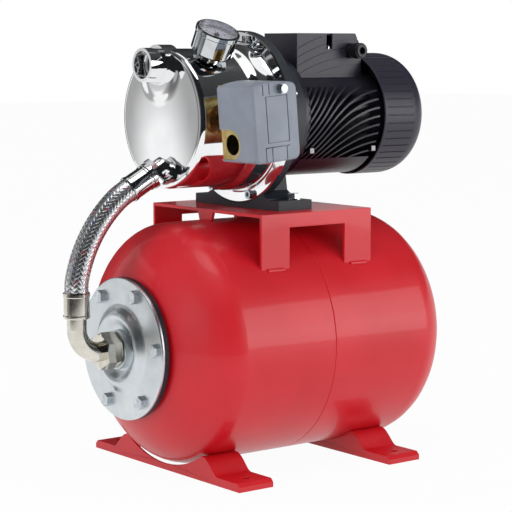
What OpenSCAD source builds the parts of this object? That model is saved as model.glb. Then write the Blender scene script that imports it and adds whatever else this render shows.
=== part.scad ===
// Booster set: self-priming centrifugal jet pump with its motor on a horizontal pressure tank.
// +X runs from the suction end to the fan end, -Y is the switch side, +Z is up.
// The origin is the centre of the four foot bolts, on the floor.

/* [Tank] */
// Outer radius of the tank
tank_r = 135; // [100:1:170]
// Thickness of the tank's steel sheet
tank_wall = 1.5; // [1:0.1:3]
// Depth of each domed end
dome_depth = 72; // [55:1:90]
// Straight length of the front shell
front_straight = 120; // [95:1:150]
// Straight length of the rear shell
rear_straight = 133; // [105:1:165]
// Where the two shells meet
seam_x = 8.6; // [0:0.1:20]
// Length of the rear shell that is lapped under the front shell
seam_lap = 8; // [5:0.5:12]
// Gap between the tank and the floor
floor_gap = 7.2; // [4:0.1:20]

/* [Flange] */
// Outer radius of the flange cover and the counter flange
flange_r = 78.5; // [75:0.5:95]
// Radius of the dome's opening
neck_r = 60; // [50:1:66]
// Radius of the counter flange's opening
counter_bore_r = 50; // [40:1:54]
// Thickness of the flange cover
cover_t = 3.8; // [3:0.1:6]
// Thickness of the counter flange
counter_t = 5.5; // [4:0.1:9]
// Radius of the circle of flange bolts
flange_bolt_circle_r = 66; // [63:0.5:70]
// Number of flange bolts
flange_bolt_count = 6; // [4:1:8]
// Turn of the bolt pattern about the tank's axis
flange_bolt_turn = -5.5; // [-30:0.5:30]
// Height of the ring pressed into the flange cover
emboss_h = 8; // [4:0.5:10]
// Outer radius of the threaded socket
socket_r = 21.5; // [19:0.1:22.5]
// Length of the threaded socket in front of the flange cover
socket_l = 8.8; // [6:0.1:14]

/* [Feet] */
// Distance between the feet's centre lines
foot_pitch = 213.5; // [180:0.5:240]
// Width of a foot
foot_w = 46.3; // [38:0.1:60]
// Length of a foot across the tank
foot_l = 280; // [250:1:330]
// Distance between the two bolt holes of a foot
foot_hole_pitch = 243; // [215:1:290]
// Radius of a foot's bolt hole
foot_hole_r = 4.5; // [3:0.1:7]
// Height of a foot's toe
toe_h = 9.5; // [7:0.5:14]
// Thickness of a foot's sheet
foot_t = 2.5; // [2:0.1:4]

/* [Pump bracket] */
// Front edge of the bracket
bracket_x1 = -71; // [-80:1:-60]
// Length of the bracket
bracket_l = 157; // [140:1:180]
// Width of the bracket across the tank
bracket_w = 205.8; // [180:0.2:220]
// Thickness of the bracket's plate
bracket_t = 3.5; // [2.5:0.1:5]
// Gap between the plate and the top of the tank
bracket_gap = 9.3; // [6:0.1:20]
// Length of each of the bracket's legs
leg_l = 39; // [25:1:50]
// Height of the strip above the side windows
window_drop = 12; // [8:1:16]

/* [Pump] */
// Height of the pump's axis above the bracket
pump_rise = 102; // [100:1:125]
// Outer radius of the pump casing
casing_r = 77; // [72:0.5:82]
// Length of the pump casing
casing_l = 108; // [98:1:130]
// Thickness of the casing's sheet
casing_wall = 1.5; // [1:0.1:2.5]
// Rounding of the casing's front edge
casing_round = 6; // [4:0.5:10]
// Plane where the casing meets the motor bracket
joint_x = -22.5; // [-28:0.5:-18]
// Outer radius of the clamp ring
ring_r = 97; // [96:0.5:110]
// Inner radius of the clamp ring
ring_bore_r = 84; // [83.5:0.5:88]
// Thickness of the clamp ring
ring_t = 4; // [3:0.5:6]
// Number of clamp screws
clamp_screw_count = 8; // [6:1:10]
// Turn of the clamp screws about the pump's axis
clamp_screw_turn = 27; // [0:0.5:45]
// Height of the suction port above the pump's axis
suction_rise = 59; // [55:0.5:60]
// Outer radius of the suction port
suction_r = 18.5; // [17.6:0.1:20]
// Length of the suction port in front of the casing
suction_l = 25; // [20:0.5:32]
// Radius inside a one-inch pipe thread
thread_r = 15.15; // [14.5:0.05:16]
// Depth of the suction port's thread
thread_l = 14; // [12:0.5:16]
// Distance of the switch and gauge ports behind the casing's front
port_x = 39; // [35:0.5:45]
// Distance of the hose outlet below the pump's axis
outlet_drop = 53; // [48:0.5:56]
// Rise of the hose outlet's axis above level
outlet_angle = 28; // [20:1:35]

/* [Impeller and shaft] */
// Radius of the impeller
impeller_r = 60; // [50:1:64]
// Number of impeller vanes
vane_count = 6; // [5:1:8]
// Radius of the shaft in the pump
shaft_r = 6; // [5:0.25:7]
// Radius of the shaft in the bearings
bearing_bore_r = 7.5; // [7:0.25:8.5]
// Radius of the bearings
bearing_r = 17.5; // [16.5:0.5:20]
// Width of the bearings
bearing_w = 11; // [9:0.5:14]
// Number of balls in a bearing
ball_count = 8; // [6:1:8]

/* [Motor] */
// Plane where the motor body starts
motor_x1 = 20; // [14:1:26]
// Length of the motor body
motor_l = 124; // [118:1:150]
// Radius of the motor body over its fins
fin_r = 69; // [66:0.5:76]
// Radius of the motor body under its fins
motor_r = 53; // [52:0.5:60]
// Radius of the stator's stack
stator_r = 50; // [45:0.5:51]
// Length of the stator's stack
stack_l = 72; // [55:1:80]
// Radius of the rotor
rotor_r = 32.5; // [28:0.5:34]
// Air gap between the rotor and the stator
air_gap = 0.5; // [0.3:0.1:1]
// Distance between neighbouring fins
fin_pitch = 9.8; // [8:0.1:14]
// Radius of the fins' curve seen from the side
fin_curve_r = 117; // [100:1:150]
// Thickness of a fin
fin_t = 2.2; // [1.6:0.1:3]
// Radius of the fan
fan_r = 56; // [45:1:60]
// Number of fan blades
blade_count = 9; // [6:1:12]
// Radius of the fan cover
fan_cover_r = 71.5; // [70:0.5:80]
// Length of the fan cover
fan_cover_l = 77; // [72:1:100]
// Thickness of the fan cover
fan_cover_t = 2; // [1.5:0.1:3]
// Length of the motor body that the fan cover reaches over
fan_cover_lap = 9; // [6:1:16]

/* [Terminal box] */
// Length of the terminal box
box_l = 96; // [90:1:110]
// Width of the terminal box
box_w = 60; // [54:1:76]
// Height of the terminal box above the motor body's pad
box_h = 54; // [48:1:64]
// Thickness of the terminal box's walls
box_wall = 2.5; // [2:0.1:4]
// Distance between the motor body's front and the box
box_x = 17; // [12:1:22]
// Radius of the capacitor
capacitor_r = 14; // [10:0.5:15]
// Radius of the cable gland's nut
gland_r = 9; // [8:0.5:11]
// Radius of the cable gland's passage
gland_bore_r = 4; // [3:0.5:5]

/* [Gauge] */
// Tilt of the gauge away from upright
gauge_tilt = 28.7; // [20:0.1:40]
// Radius of the gauge
gauge_r = 24.5; // [20:0.5:26]
// Depth of the gauge's case
gauge_depth = 28; // [22:0.5:32]
// Distance from the casing to the back of the gauge
gauge_stand = 3; // [2:0.5:14]

/* [Pressure switch] */
// Length of the switch cover along the pump
switch_l = 59; // [50:1:64]
// Depth of the switch cover
switch_d = 61; // [54:1:70]
// Height of the switch cover
switch_h = 84; // [76:1:96]
// Lean of the switch about its port
switch_lean = 5; // [0:0.5:10]
// Distance from the casing to the back of the switch cover
switch_stand = 17; // [17:0.5:26]
// Thickness of the switch cover
switch_wall = 2; // [1.5:0.1:3]
// Radius of the diaphragm housing
diaphragm_r = 24; // [20:0.5:26]
// Radius of the cable entry
conduit_r = 11; // [9:0.5:12]
// Distance of the cable entry below the switch port
conduit_drop = 22; // [20:0.5:26]

/* [Hose] */
// Outer radius of the braided hose
hose_r = 13.2; // [11:0.1:15]
// Thickness of the braid
braid_t = 1; // [0.6:0.1:1.5]
// Thickness of the rubber inner tube
liner_t = 2.6; // [2:0.1:4]
// Radius of the hose's first bend above the lower ferrule
hose_bend_1 = 30; // [24:1:60]
// Radius of the hose's last bend below the upper ferrule
hose_bend_3 = 80; // [60:1:120]
// Straight length of hose below the upper ferrule
hose_tail = 3.7; // [1:0.1:20]
// Length of the ferrules
ferrule_l = 28; // [22:0.5:36]
// Radius of the elbow's tube
elbow_r = 10.7; // [9:0.1:11.5]
// Bend radius of the elbow
elbow_bend = 27; // [22:1:34]
// Straight length of the elbow below the ferrule
elbow_rise = 12; // [6:1:24]
// Width across the flats of the elbow's hexagon
elbow_hex = 36; // [34:0.5:40]
// Length of the elbow's hexagon
elbow_hex_l = 19; // [14:0.5:26]
// Distance between the hexagon and the elbow's bend
elbow_neck = 1; // [0.5:0.5:6]

/* [Fits] */
// Radial gap of a screw in its hole
screw_gap = 0.15; // [0.1:0.05:0.4]
// Radial gap of a running fit
run_gap = 0.05; // [0.03:0.01:0.08]
// Gap between pieces that move past each other
move_gap = 0.5; // [0.4:0.1:1]

/* [Hidden] */
$fn = 72;
eps = 0.01;

// Heights of the three main axes
tank_z = floor_gap + tank_r;
bracket_z = tank_z + tank_r + bracket_gap + bracket_t;
pump_z = bracket_z + pump_rise;

// Tank
front_tangent_x = seam_x - front_straight;
rear_tangent_x = seam_x + rear_straight;
counter_back_x = front_tangent_x - dome_x(neck_r, tank_r, dome_depth);
counter_front_x = counter_back_x - counter_t;
cover_front_x = counter_front_x - cover_t;
valve_hole_r = 5;
m8_r = 4;
m6_r = 3;
bladder_wall = 2.5;
bladder_gap = 3;

// Foot and bracket
foot_half = foot_l / 2;
saddle_a = 32;
toe_l = 40;
bracket_x2 = bracket_x1 + bracket_l;
leg_z = tank_z + sqrt(pow(tank_r, 2) - pow(bracket_w / 2, 2));

// Pump
casing_flange_t = 1.5;
casing_flange_r = 92;
casing_x1 = joint_x - casing_l;
casing_flange_x = joint_x - casing_flange_t;
ring_x1 = casing_flange_x - ring_t;
shoulder_x = joint_x - 30;
shoulder_r = 82;
seal_plate_t = 2;
seal_plate_x2 = joint_x + seal_plate_t;
ring_screw_r = (ring_r + ring_bore_r) / 2;
crown_h = 3;
suction_x1 = casing_x1 - suction_l;
valve_bore_r = thread_r - 0.95;
guide_x1 = suction_x1 + thread_l + 1;
guide_l = 5;
stem_r = 2;
ports_x = casing_x1 + port_x;
boss_h = 3;
boss_r = 12;
drain_tilt = -140;
delivery_l = 14;
delivery_x = ports_x + 30;

// Shaft line
impeller_back_x = joint_x - 16;
impeller_w = 9;
impeller_front_x = impeller_back_x - impeller_w;
shroud_t = 1.5;
hub_r = 11;
nut_x = impeller_front_x - 8;
front_bearing_x = motor_x1 - 12;
rear_bearing_x = motor_x1 + motor_l + 1;
stack_x1 = motor_x1 + (motor_l - stack_l) / 2 - 3;
stack_x2 = stack_x1 + stack_l;
rotor_bore_r = 10;
ball_ring_r = (bearing_bore_r + bearing_r) / 2;
ball_r = (bearing_r - bearing_bore_r) * 0.29;
motor_x2 = motor_x1 + motor_l;

// Motor bracket
foot_plate_t = 11;
foot_plate_w = 156;
foot_plate_x1 = joint_x - 5;
foot_plate_l = 47;
foot_bolt_x = joint_x + 26;
foot_bolt_y = 66;
motor_foot_z = pump_z - pump_rise;

// Fan cover and fan
fan_cover_x1 = motor_x2 - fan_cover_lap;
fan_cover_x2 = fan_cover_x1 + fan_cover_l;
fan_x1 = rear_bearing_x + bearing_w + 8;
fan_w = 20;
shaft_end_x = fan_x1 + fan_w + 2;
strip_drop = 48;
shield_t = 5;
fin_sweep = 50;
cover_corner = 34;
vent_count = 16;

// Terminal box
box_x1 = motor_x1 + box_x;
pad_z = pump_z + sqrt(pow(fin_r, 2) - pow(box_w / 2, 2)) - 22;
box_z2 = pad_z + box_h;
box_mid_x = box_x1 + box_l / 2;
box_pocket_h = 18;
box_pocket_z = box_z2 - box_pocket_h;
box_screw_r = 2;
box_screw_y = box_w / 2 - 4.5;
box_screw_z1 = pump_z + sqrt(pow(motor_r, 2) - pow(box_screw_y, 2)) - 1.5;
gland_x = box_x1 + box_l - 15;
gland_z = box_z2 - 20;

// Gauge and switch
gauge_back = casing_r + boss_h + gauge_stand;
gauge_face = gauge_back + gauge_depth;
switch_y = -casing_r - switch_stand;
switch_z1 = -switch_h * 0.49;
conduit_y = 18;
stud_x = 8;
stud_z = switch_z1 + switch_h - 8;

// Hose route
elbow_adapter_x1 = cover_front_x - socket_l - 1 - elbow_hex_l;
elbow_leg_x = elbow_adapter_x1 - elbow_neck - elbow_bend;
lower_ferrule_z = tank_z + elbow_bend + elbow_rise;
hose_start_z = lower_ferrule_z + ferrule_l;
nut_l = 5;
outlet_tilt = 90 - outlet_angle;
outlet_x = casing_x1;
outlet_z = pump_z - outlet_drop;
outlet_stub_l = 17;
stub_r = 12.5;
stub_bore_r = 8;
hose_end_back = outlet_stub_l + nut_l + ferrule_l;
hose_end_x = outlet_x - hose_end_back * sin(outlet_tilt);
hose_end_z = outlet_z - hose_end_back * cos(outlet_tilt);
bend_a = 12;
bend_b = 50;
hose_dx = hose_end_x - elbow_leg_x;
hose_dz = hose_end_z - hose_start_z;
fixed_dx = hose_bend_1 * (1 - cos(bend_a)) + hose_bend_3 * (cos(bend_b) - cos(outlet_tilt));
fixed_dz = hose_bend_1 * sin(bend_a) + hose_bend_3 * (sin(outlet_tilt) - sin(bend_b));
side_gain = cos(bend_a) - cos(bend_b);
rise_gain = sin(bend_b) - sin(bend_a);
// The middle bend spans the sideways distance, and what height is left over is a straight length.
// Where no height is left over, the middle bend and the straight end share both distances.
wide_bend = (hose_dx - fixed_dx - hose_tail * sin(outlet_tilt)) / side_gain;
spare_rise = hose_dz - fixed_dz - wide_bend * rise_gain - hose_tail * cos(outlet_tilt);
has_spare = spare_rise >= 0;
route_det = side_gain * cos(outlet_tilt) - sin(outlet_tilt) * rise_gain;
tight_bend = ((hose_dx - fixed_dx) * cos(outlet_tilt) - sin(outlet_tilt) * (hose_dz - fixed_dz)) / route_det;
tight_tail = (side_gain * (hose_dz - fixed_dz) - rise_gain * (hose_dx - fixed_dx)) / route_det;
hose_bend_2 = has_spare ? wide_bend : tight_bend;
hose_rise = has_spare ? spare_rise : 0;
hose_end_l = has_spare ? hose_tail : tight_tail;

// How far an elliptical dome reaches beyond its tangent line where its radius is r
function dome_x(r, big_r, depth) = depth * sqrt(1 - pow(r / big_r, 2));

// Points of an elliptical dome from its tangent line to the angle a_end
function dome_points(x, dir, big_r, depth, a_end, n = 14) = [
    for (i = [0 : n]) [big_r * cos(a_end * i / n), x + dir * depth * sin(a_end * i / n)]
];

function reversed(list) = [for (i = [len(list) - 1 : -1 : 0]) list[i]];

// Local +Z lies along +X, on the axis at height z
module x_axis(z) {
    translate([0, 0, z])
        rotate([0, 90, 0])
            children();
}

// A body turned about an axis along X: the points are [radius, x]
module turned(z, points) {
    x_axis(z)
        rotate_extrude()
            polygon(points);
}

module ring_x(z, x1, x2, r_out, r_in) {
    turned(z, [[r_in, x1], [r_out, x1], [r_out, x2], [r_in, x2]]);
}

module rod_x(z, x1, x2, r) {
    x_axis(z)
        translate([0, 0, x1])
            cylinder(h = x2 - x1, r = r);
}

// A hexagon prism along X with two flats facing the sides
module hex_x(z, x1, x2, flats) {
    x_axis(z)
        translate([0, 0, x1])
            cylinder(h = x2 - x1, r = flats / sqrt(3), $fn = 6);
}

// Repeats its children round an axis along X, starting at +Y and turning towards +Z
module round_x(z, r, count, turn) {
    for (i = [0 : count - 1])
        translate([0, r * cos(turn + 360 * i / count), z + r * sin(turn + 360 * i / count)])
            children();
}

// Local +Z points out of the casing, tilted from upright towards -Y
module radial(x, tilt) {
    translate([x, 0, pump_z])
        rotate([tilt, 0, 0])
            children();
}

// Local +Z points along the hose outlet, into the pump
module outlet_axis() {
    translate([outlet_x, 0, outlet_z])
        rotate([0, outlet_tilt, 0])
            children();
}

// Local frame of the pressure switch: -Y points out, the origin is the port's axis on the casing
module switch_frame() {
    translate([ports_x, 0, pump_z])
        rotate([0, -switch_lean, 0])
            children();
}

module ring_z(z1, z2, r_out, r_in) {
    translate([0, 0, z1])
        rotate_extrude()
            polygon([[r_in, 0], [r_out, 0], [r_out, z2 - z1], [r_in, z2 - z1]]);
}

// ---------------------------------------------------------------- tank

module tank_front_shell() {
    a_out = acos(neck_r / tank_r);
    depth_in = dome_depth - tank_wall;
    r_in = tank_r - tank_wall;
    reach = front_tangent_x - counter_back_x;
    a_in = asin(reach / depth_in);
    color("#c8202b")
        turned(tank_z, concat(
            [[r_in, seam_x], [tank_r - 0.6, seam_x], [tank_r, seam_x - 0.6]],
            dome_points(front_tangent_x, -1, tank_r, dome_depth, a_out),
            reversed(dome_points(front_tangent_x, -1, r_in, depth_in, a_in))
        ));
}

module tank_rear_shell() {
    r_in = tank_r - tank_wall;
    lap_r = r_in - 0.05;
    color("#c8202b")
        turned(tank_z, concat(
            [
                [lap_r - tank_wall, seam_x - seam_lap],
                [lap_r, seam_x - seam_lap],
                [lap_r, seam_x + 0.1],
                [tank_r - 0.6, seam_x + 0.1],
                [tank_r, seam_x + 0.7]
            ],
            dome_points(rear_tangent_x, 1, tank_r, dome_depth, acos(valve_hole_r / tank_r)),
            reversed(dome_points(rear_tangent_x, 1, r_in, dome_depth - tank_wall, acos(valve_hole_r / r_in))),
            [[r_in, seam_x + 8], [lap_r - tank_wall, seam_x + 4]]
        ));
}

module counter_flange() {
    color("#3d4750")
        difference() {
            ring_x(tank_z, counter_front_x, counter_back_x, flange_r, counter_bore_r);
            flange_bolt_holes();
        }
}

module flange_bolt_holes() {
    round_x(tank_z, flange_bolt_circle_r, flange_bolt_count, flange_bolt_turn)
        rod_x(0, cover_front_x - 1, counter_back_x + 1, m8_r + screw_gap);
}

// Height of the pressed ring at radius r
function emboss(r, r1, r2) = r <= r1 || r >= r2 ? 0 : emboss_h * (1 - cos(360 * (r - r1) / (r2 - r1))) / 2;

module flange_cover() {
    r1 = socket_r + 2;
    r2 = socket_r + 29;
    steps = 12;
    front = [for (i = [0 : steps]) let (r = r1 + (r2 - r1) * i / steps) [r, cover_front_x - emboss(r, r1, r2)]];
    back = [for (p = front) [p[0], p[1] + cover_t]];
    color("#c3cdd6") {
        difference() {
            turned(tank_z, concat(
                [
                    [thread_r + 1.5, counter_front_x],
                    [thread_r + 1.5, cover_front_x - socket_l],
                    [socket_r, cover_front_x - socket_l],
                    [socket_r, cover_front_x]
                ],
                front,
                [[flange_r - 0.8, cover_front_x], [flange_r, cover_front_x + 0.8], [flange_r, counter_front_x]],
                reversed(back)
            ));
            flange_bolt_holes();
        }
    }
}

module flange_bolts() {
    color("#b9c3cf")
        round_x(tank_z, flange_bolt_circle_r, flange_bolt_count, flange_bolt_turn) {
            hex_x(0, cover_front_x - 5.5, cover_front_x, 13);
            rod_x(0, cover_front_x - eps, counter_back_x, m8_r);
        }
}

// Rubber bag inside the tank, filled by the pump; its rim is pinched behind the flange cover
module bladder() {
    bag_r = tank_r - tank_wall * 2 - bladder_gap;
    bag_depth = dome_depth - tank_wall - bladder_gap - 6;
    mouth_r = counter_bore_r - 2;
    mouth_a = acos(mouth_r / bag_r);
    tube_x = counter_front_x + 0.2;
    front_x = front_tangent_x + 14;
    rear_x = rear_tangent_x - 8;
    in_r = bag_r - bladder_wall;
    in_depth = bag_depth - bladder_wall;
    color("#1c1d20")
        turned(tank_z, concat(
            [[mouth_r - bladder_wall, tube_x], [mouth_r, tube_x]],
            reversed(dome_points(front_x, -1, bag_r, bag_depth, mouth_a, 8)),
            dome_points(rear_x, 1, bag_r, bag_depth, 90, 8),
            reversed(dome_points(rear_x, 1, in_r, in_depth, 90, 8)),
            dome_points(front_x, -1, in_r, in_depth, acos((mouth_r - bladder_wall) / in_r), 8)
        ));
}

// Foot that carries the tank: a pressed channel with a saddle, two S-shaped shoulders and two toes
module foot(x) {
    crest_y = tank_r * sin(saddle_a) + foot_t;
    crest_z = tank_z - tank_r * cos(saddle_a);
    toe_y = foot_half - toe_l;
    outer = concat(
        [[-foot_half, 0], [-foot_half, toe_h - 4], [-foot_half + 4, toe_h]],
        [for (i = [0 : 8]) let (t = i / 8) [-toe_y + (toe_y - crest_y) * t,
            toe_h + (crest_z - toe_h) * (1 - cos(180 * pow(t, 0.8))) / 2]]
    );
    mirrored = [for (p = reversed(outer)) [-p[0], p[1]]];
    color("#c8202b")
        difference() {
            union() {
                difference() {
                    translate([x - foot_w / 2, 0, 0])
                        rotate([90, 0, 90])
                            linear_extrude(foot_w)
                                polygon(concat(outer, mirrored));
                    translate([x - foot_w / 2 + foot_t, 0, -foot_t])
                        rotate([90, 0, 90])
                            linear_extrude(foot_w - 2 * foot_t)
                                polygon(concat(
                                    [for (p = outer) p + [foot_t, 0]],
                                    [for (p = mirrored) p - [foot_t, 0]]
                                ));
                }
                for (side = [-1, 1])
                    translate([x, side * foot_hole_pitch / 2, 0])
                        cylinder(h = toe_h - foot_t / 2, r = foot_hole_r + foot_t);
            }
            rod_x(tank_z, x - foot_w, x + foot_w, tank_r);
            for (side = [-1, 1])
                translate([x, side * foot_hole_pitch / 2, -1])
                    cylinder(h = toe_h + 2, r = foot_hole_r);
        }
}

module front_foot() {
    foot(-foot_pitch / 2);
}

module rear_foot() {
    foot(foot_pitch / 2);
}

// Bridge welded on the tank: a plate with two folded sides, a window in each side and a front tab
module pump_bracket() {
    window_l = bracket_l - 2 * leg_l;
    window_top = bracket_z - bracket_t - window_drop;
    color("#c8202b") {
        difference() {
            translate([bracket_x1, -bracket_w / 2, leg_z - 10])
                cube([bracket_l, bracket_w, bracket_z - leg_z + 10]);
            translate([bracket_x1 - 1, -bracket_w / 2 + bracket_t, leg_z - 11])
                cube([bracket_l + 2, bracket_w - 2 * bracket_t, bracket_z - bracket_t - leg_z + 11]);
            rod_x(tank_z, bracket_x1 - 1, bracket_x2 + 1, tank_r);
            for (y = [-bracket_w / 2 - 1, bracket_w / 2 - bracket_t - 1])
                translate([bracket_x1 + leg_l, y, leg_z - 20])
                    cube([window_l, bracket_t + 2, window_top - leg_z + 20]);
            for (side = [-1, 1])
                translate([foot_bolt_x, side * foot_bolt_y, bracket_z - bracket_t - 1])
                    cylinder(h = bracket_t + 2, r = m8_r + screw_gap);
        }
        difference() {
            translate([bracket_x1, 0, 0])
                rotate([90, 0, 90])
                    linear_extrude(bracket_t)
                        polygon([
                            [-15, bracket_z - 1],
                            [-10, tank_z + tank_r - 4],
                            [10, tank_z + tank_r - 4],
                            [15, bracket_z - 1]
                        ]);
            rod_x(tank_z, bracket_x1 - 1, bracket_x2 + 1, tank_r);
        }
        for (side = [-1, 1])
            for (x = [bracket_x1 + 8, bracket_x1 + leg_l - 20, bracket_x2 - leg_l + 8, bracket_x2 - 20])
                weld_bead(x, side);
    }
}

// Short weld between a bracket leg and the tank
module weld_bead(x, side) {
    difference() {
        translate([x, side * (bracket_w / 2 + 0.3), leg_z - 1])
            rotate([0, 90, 0])
                cylinder(h = 12, r = 2.4);
        rod_x(tank_z, x - 1, x + 13, tank_r);
    }
}

module air_valve() {
    apex_x = rear_tangent_x + dome_depth;
    color("#b98f4a") {
        difference() {
            union() {
                rod_x(tank_z, apex_x - tank_wall - 4, apex_x + 14, valve_hole_r - 0.3);
                hex_x(tank_z, apex_x + 0.4, apex_x + 4, 14);
                hex_x(tank_z, apex_x - tank_wall - 5, apex_x - tank_wall - 1, 14);
            }
            rod_x(tank_z, apex_x - tank_wall - 6, apex_x + 15, 2.6);
        }
        rod_x(tank_z, apex_x - 2, apex_x + 13, 1);
        ring_x(tank_z, apex_x + 2, apex_x + 4, 2.6, 1);
    }
}

module valve_cap() {
    apex_x = rear_tangent_x + dome_depth;
    color("#17181a")
        difference() {
            rod_x(tank_z, apex_x + 4.5, apex_x + 18, valve_hole_r + 1.6);
            rod_x(tank_z, apex_x + 4, apex_x + 16, valve_hole_r);
        }
}

// ---------------------------------------------------------------- hose

module elbow_adapter() {
    x2 = elbow_adapter_x1 + elbow_hex_l;
    color("#cfc8ae")
        difference() {
            union() {
                intersection() {
                    hex_x(tank_z, elbow_adapter_x1, x2, elbow_hex);
                    turned(tank_z, [
                        [0, elbow_adapter_x1],
                        [elbow_hex / 2, elbow_adapter_x1],
                        [elbow_hex / sqrt(3) + 0.5, elbow_adapter_x1 + 2],
                        [elbow_hex / sqrt(3) + 0.5, x2 - 1],
                        [elbow_hex / 2, x2],
                        [0, x2]
                    ]);
                }
                rod_x(tank_z, x2 - eps, x2 + 1 + socket_l + cover_t, thread_r + 1.35);
            }
            rod_x(tank_z, elbow_adapter_x1 - 1, elbow_adapter_x1 + 12, elbow_r + 0.05);
            rod_x(tank_z, elbow_adapter_x1, x2 + socket_l + cover_t + 5, elbow_r - 2.5);
        }
}

module elbow_pipe() {
    color("#cfc8b6") {
        difference() {
            union() {
                rod_x(tank_z, elbow_adapter_x1 - elbow_neck, elbow_adapter_x1 + 12, elbow_r);
                translate([elbow_leg_x + elbow_bend, 0, tank_z + elbow_bend])
                    rotate([90, 0, 0])
                        rotate_extrude(angle = 90, start = 180)
                            translate([elbow_bend, 0])
                                circle(r = elbow_r);
                translate([elbow_leg_x, 0, tank_z + elbow_bend])
                    cylinder(h = elbow_rise + 2, r = elbow_r);
                translate([elbow_leg_x, 0, tank_z + elbow_bend + elbow_rise + 1])
                    cylinder(h = ferrule_l - 4, r = hose_r - braid_t - liner_t);
            }
            rod_x(tank_z, elbow_adapter_x1 - elbow_neck - eps, elbow_adapter_x1 + 13, elbow_r - 2.5);
            translate([elbow_leg_x + elbow_bend, 0, tank_z + elbow_bend])
                rotate([90, 0, 0])
                    rotate_extrude(angle = 90, start = 180)
                        translate([elbow_bend, 0])
                            circle(r = elbow_r - 2.5);
            translate([elbow_leg_x, 0, tank_z + elbow_bend - eps])
                cylinder(h = elbow_rise + ferrule_l, r = hose_r - braid_t - liner_t - 1.5);
        }
    }
}

// Crimped sleeve over the end of the hose, its open end at local z = ferrule_l
module ferrule() {
    collar_r = elbow_r + 0.05;
    rotate_extrude()
        polygon([
            [collar_r, 0],
            [hose_r + 0.4, 0],
            [hose_r + 1.5, 1.5],
            [hose_r + 1.5, 3],
            [hose_r + 0.8, 4],
            [hose_r + 0.8, ferrule_l - 5],
            [hose_r + 1.5, ferrule_l - 4],
            [hose_r + 1.5, ferrule_l - 1],
            [hose_r + 1, ferrule_l],
            [hose_r + 0.15, ferrule_l],
            [hose_r + 0.15, 2],
            [collar_r, 2]
        ]);
}

module lower_ferrule() {
    color("#d2cfc2")
        translate([elbow_leg_x, 0, lower_ferrule_z])
            ferrule();
}

module upper_ferrule() {
    color("#d2d2cf")
        outlet_axis()
            translate([0, 0, -outlet_stub_l - nut_l])
                mirror([0, 0, 1])
                    ferrule();
}

function arc_end(p, bend_r, a1, a2) =
    [p[0] + bend_r * (cos(a1) - cos(a2)), p[1] + bend_r * (sin(a2) - sin(a1))];

// Stations along one bend, as [x, z, lean from upright]
function arc_stations(p, bend_r, a1, a2, n) = [
    for (i = [1 : n]) let (a = a1 + (a2 - a1) * i / n, q = arc_end(p, bend_r, a1, a)) [q[0], q[1], a]
];

// Stations along the whole route: a straight start, three bends and a straight end
function hose_stations() = let (
    into = ferrule_l - 2.2,
    p0 = [elbow_leg_x, hose_start_z + hose_rise],
    p1 = arc_end(p0, hose_bend_1, 0, bend_a),
    p2 = arc_end(p1, hose_bend_2, bend_a, bend_b),
    p3 = arc_end(p2, hose_bend_3, bend_b, outlet_tilt),
    tail = hose_end_l + into
) concat(
    [[elbow_leg_x, hose_start_z - into, 0], [p0[0], p0[1], 0]],
    arc_stations(p0, hose_bend_1, 0, bend_a, 2),
    arc_stations(p1, hose_bend_2, bend_a, bend_b, 10),
    arc_stations(p2, hose_bend_3, bend_b, outlet_tilt, 3),
    [[p3[0] + tail * sin(outlet_tilt), p3[1] + tail * cos(outlet_tilt), outlet_tilt]]
);

// Ring of points of radius r round a station
function station_ring(s, r, sides) = [
    for (k = [0 : sides - 1]) let (b = 360 * k / sides)
        [s[0] + r * cos(b) * cos(s[2]), r * sin(b), s[1] - r * cos(b) * sin(s[2])]
];

// One layer of the hose along its whole route, each straight end running on into its ferrule
module hose_layer(r_out, r_in) {
    sides = 24;
    route = hose_stations();
    last = len(route) - 1;
    points = concat(
        [for (s = route) each station_ring(s, r_out / cos(180 / sides), sides)],
        [for (s = route) each station_ring(s, r_in / cos(180 / sides), sides)]
    );
    inner = (last + 1) * sides;
    faces = concat(
        [for (i = [0 : last - 1], k = [0 : sides - 1]) let (n = (k + 1) % sides)
            [i * sides + k, i * sides + n, (i + 1) * sides + n, (i + 1) * sides + k]],
        [for (i = [0 : last - 1], k = [0 : sides - 1]) let (n = (k + 1) % sides)
            [inner + i * sides + n, inner + i * sides + k,
                inner + (i + 1) * sides + k, inner + (i + 1) * sides + n]],
        [for (k = [0 : sides - 1]) let (n = (k + 1) % sides) [k, inner + k, inner + n, n]],
        [for (k = [0 : sides - 1]) let (n = (k + 1) % sides, e = last * sides)
            [e + n, inner + e + n, inner + e + k, e + k]]
    );
    polyhedron(points, faces, convexity = 6);
}

module hose_liner() {
    color("#202124")
        hose_layer(hose_r - braid_t - 0.05, hose_r - braid_t - liner_t + 0.1);
}

module hose_braid() {
    color("#c9ccd2")
        hose_layer(hose_r, hose_r - braid_t);
}

module hose_nut() {
    tail_l = ferrule_l - 3;
    tail_r = hose_r - braid_t - liner_t;
    hex_l = 7.5;
    color("#c4c8cc")
        outlet_axis()
            translate([0, 0, -outlet_stub_l])
                difference() {
                    union() {
                        translate([0, 0, -1])
                            cylinder(h = hex_l, r = stub_r + 4.8, $fn = 6);
                        translate([0, 0, -nut_l])
                            cylinder(h = nut_l, r = stub_r + 3);
                        translate([0, 0, -nut_l - tail_l])
                            cylinder(h = tail_l + 1, r = tail_r);
                        translate([0, 0, -nut_l - 2])
                            cylinder(h = 3, r = elbow_r);
                    }
                    translate([0, 0, -nut_l - tail_l - 1])
                        cylinder(h = tail_l + nut_l + hex_l, r = tail_r - 1.5);
                    cylinder(h = hex_l, r = stub_r + screw_gap);
                }
}

// ---------------------------------------------------------------- pump

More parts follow.
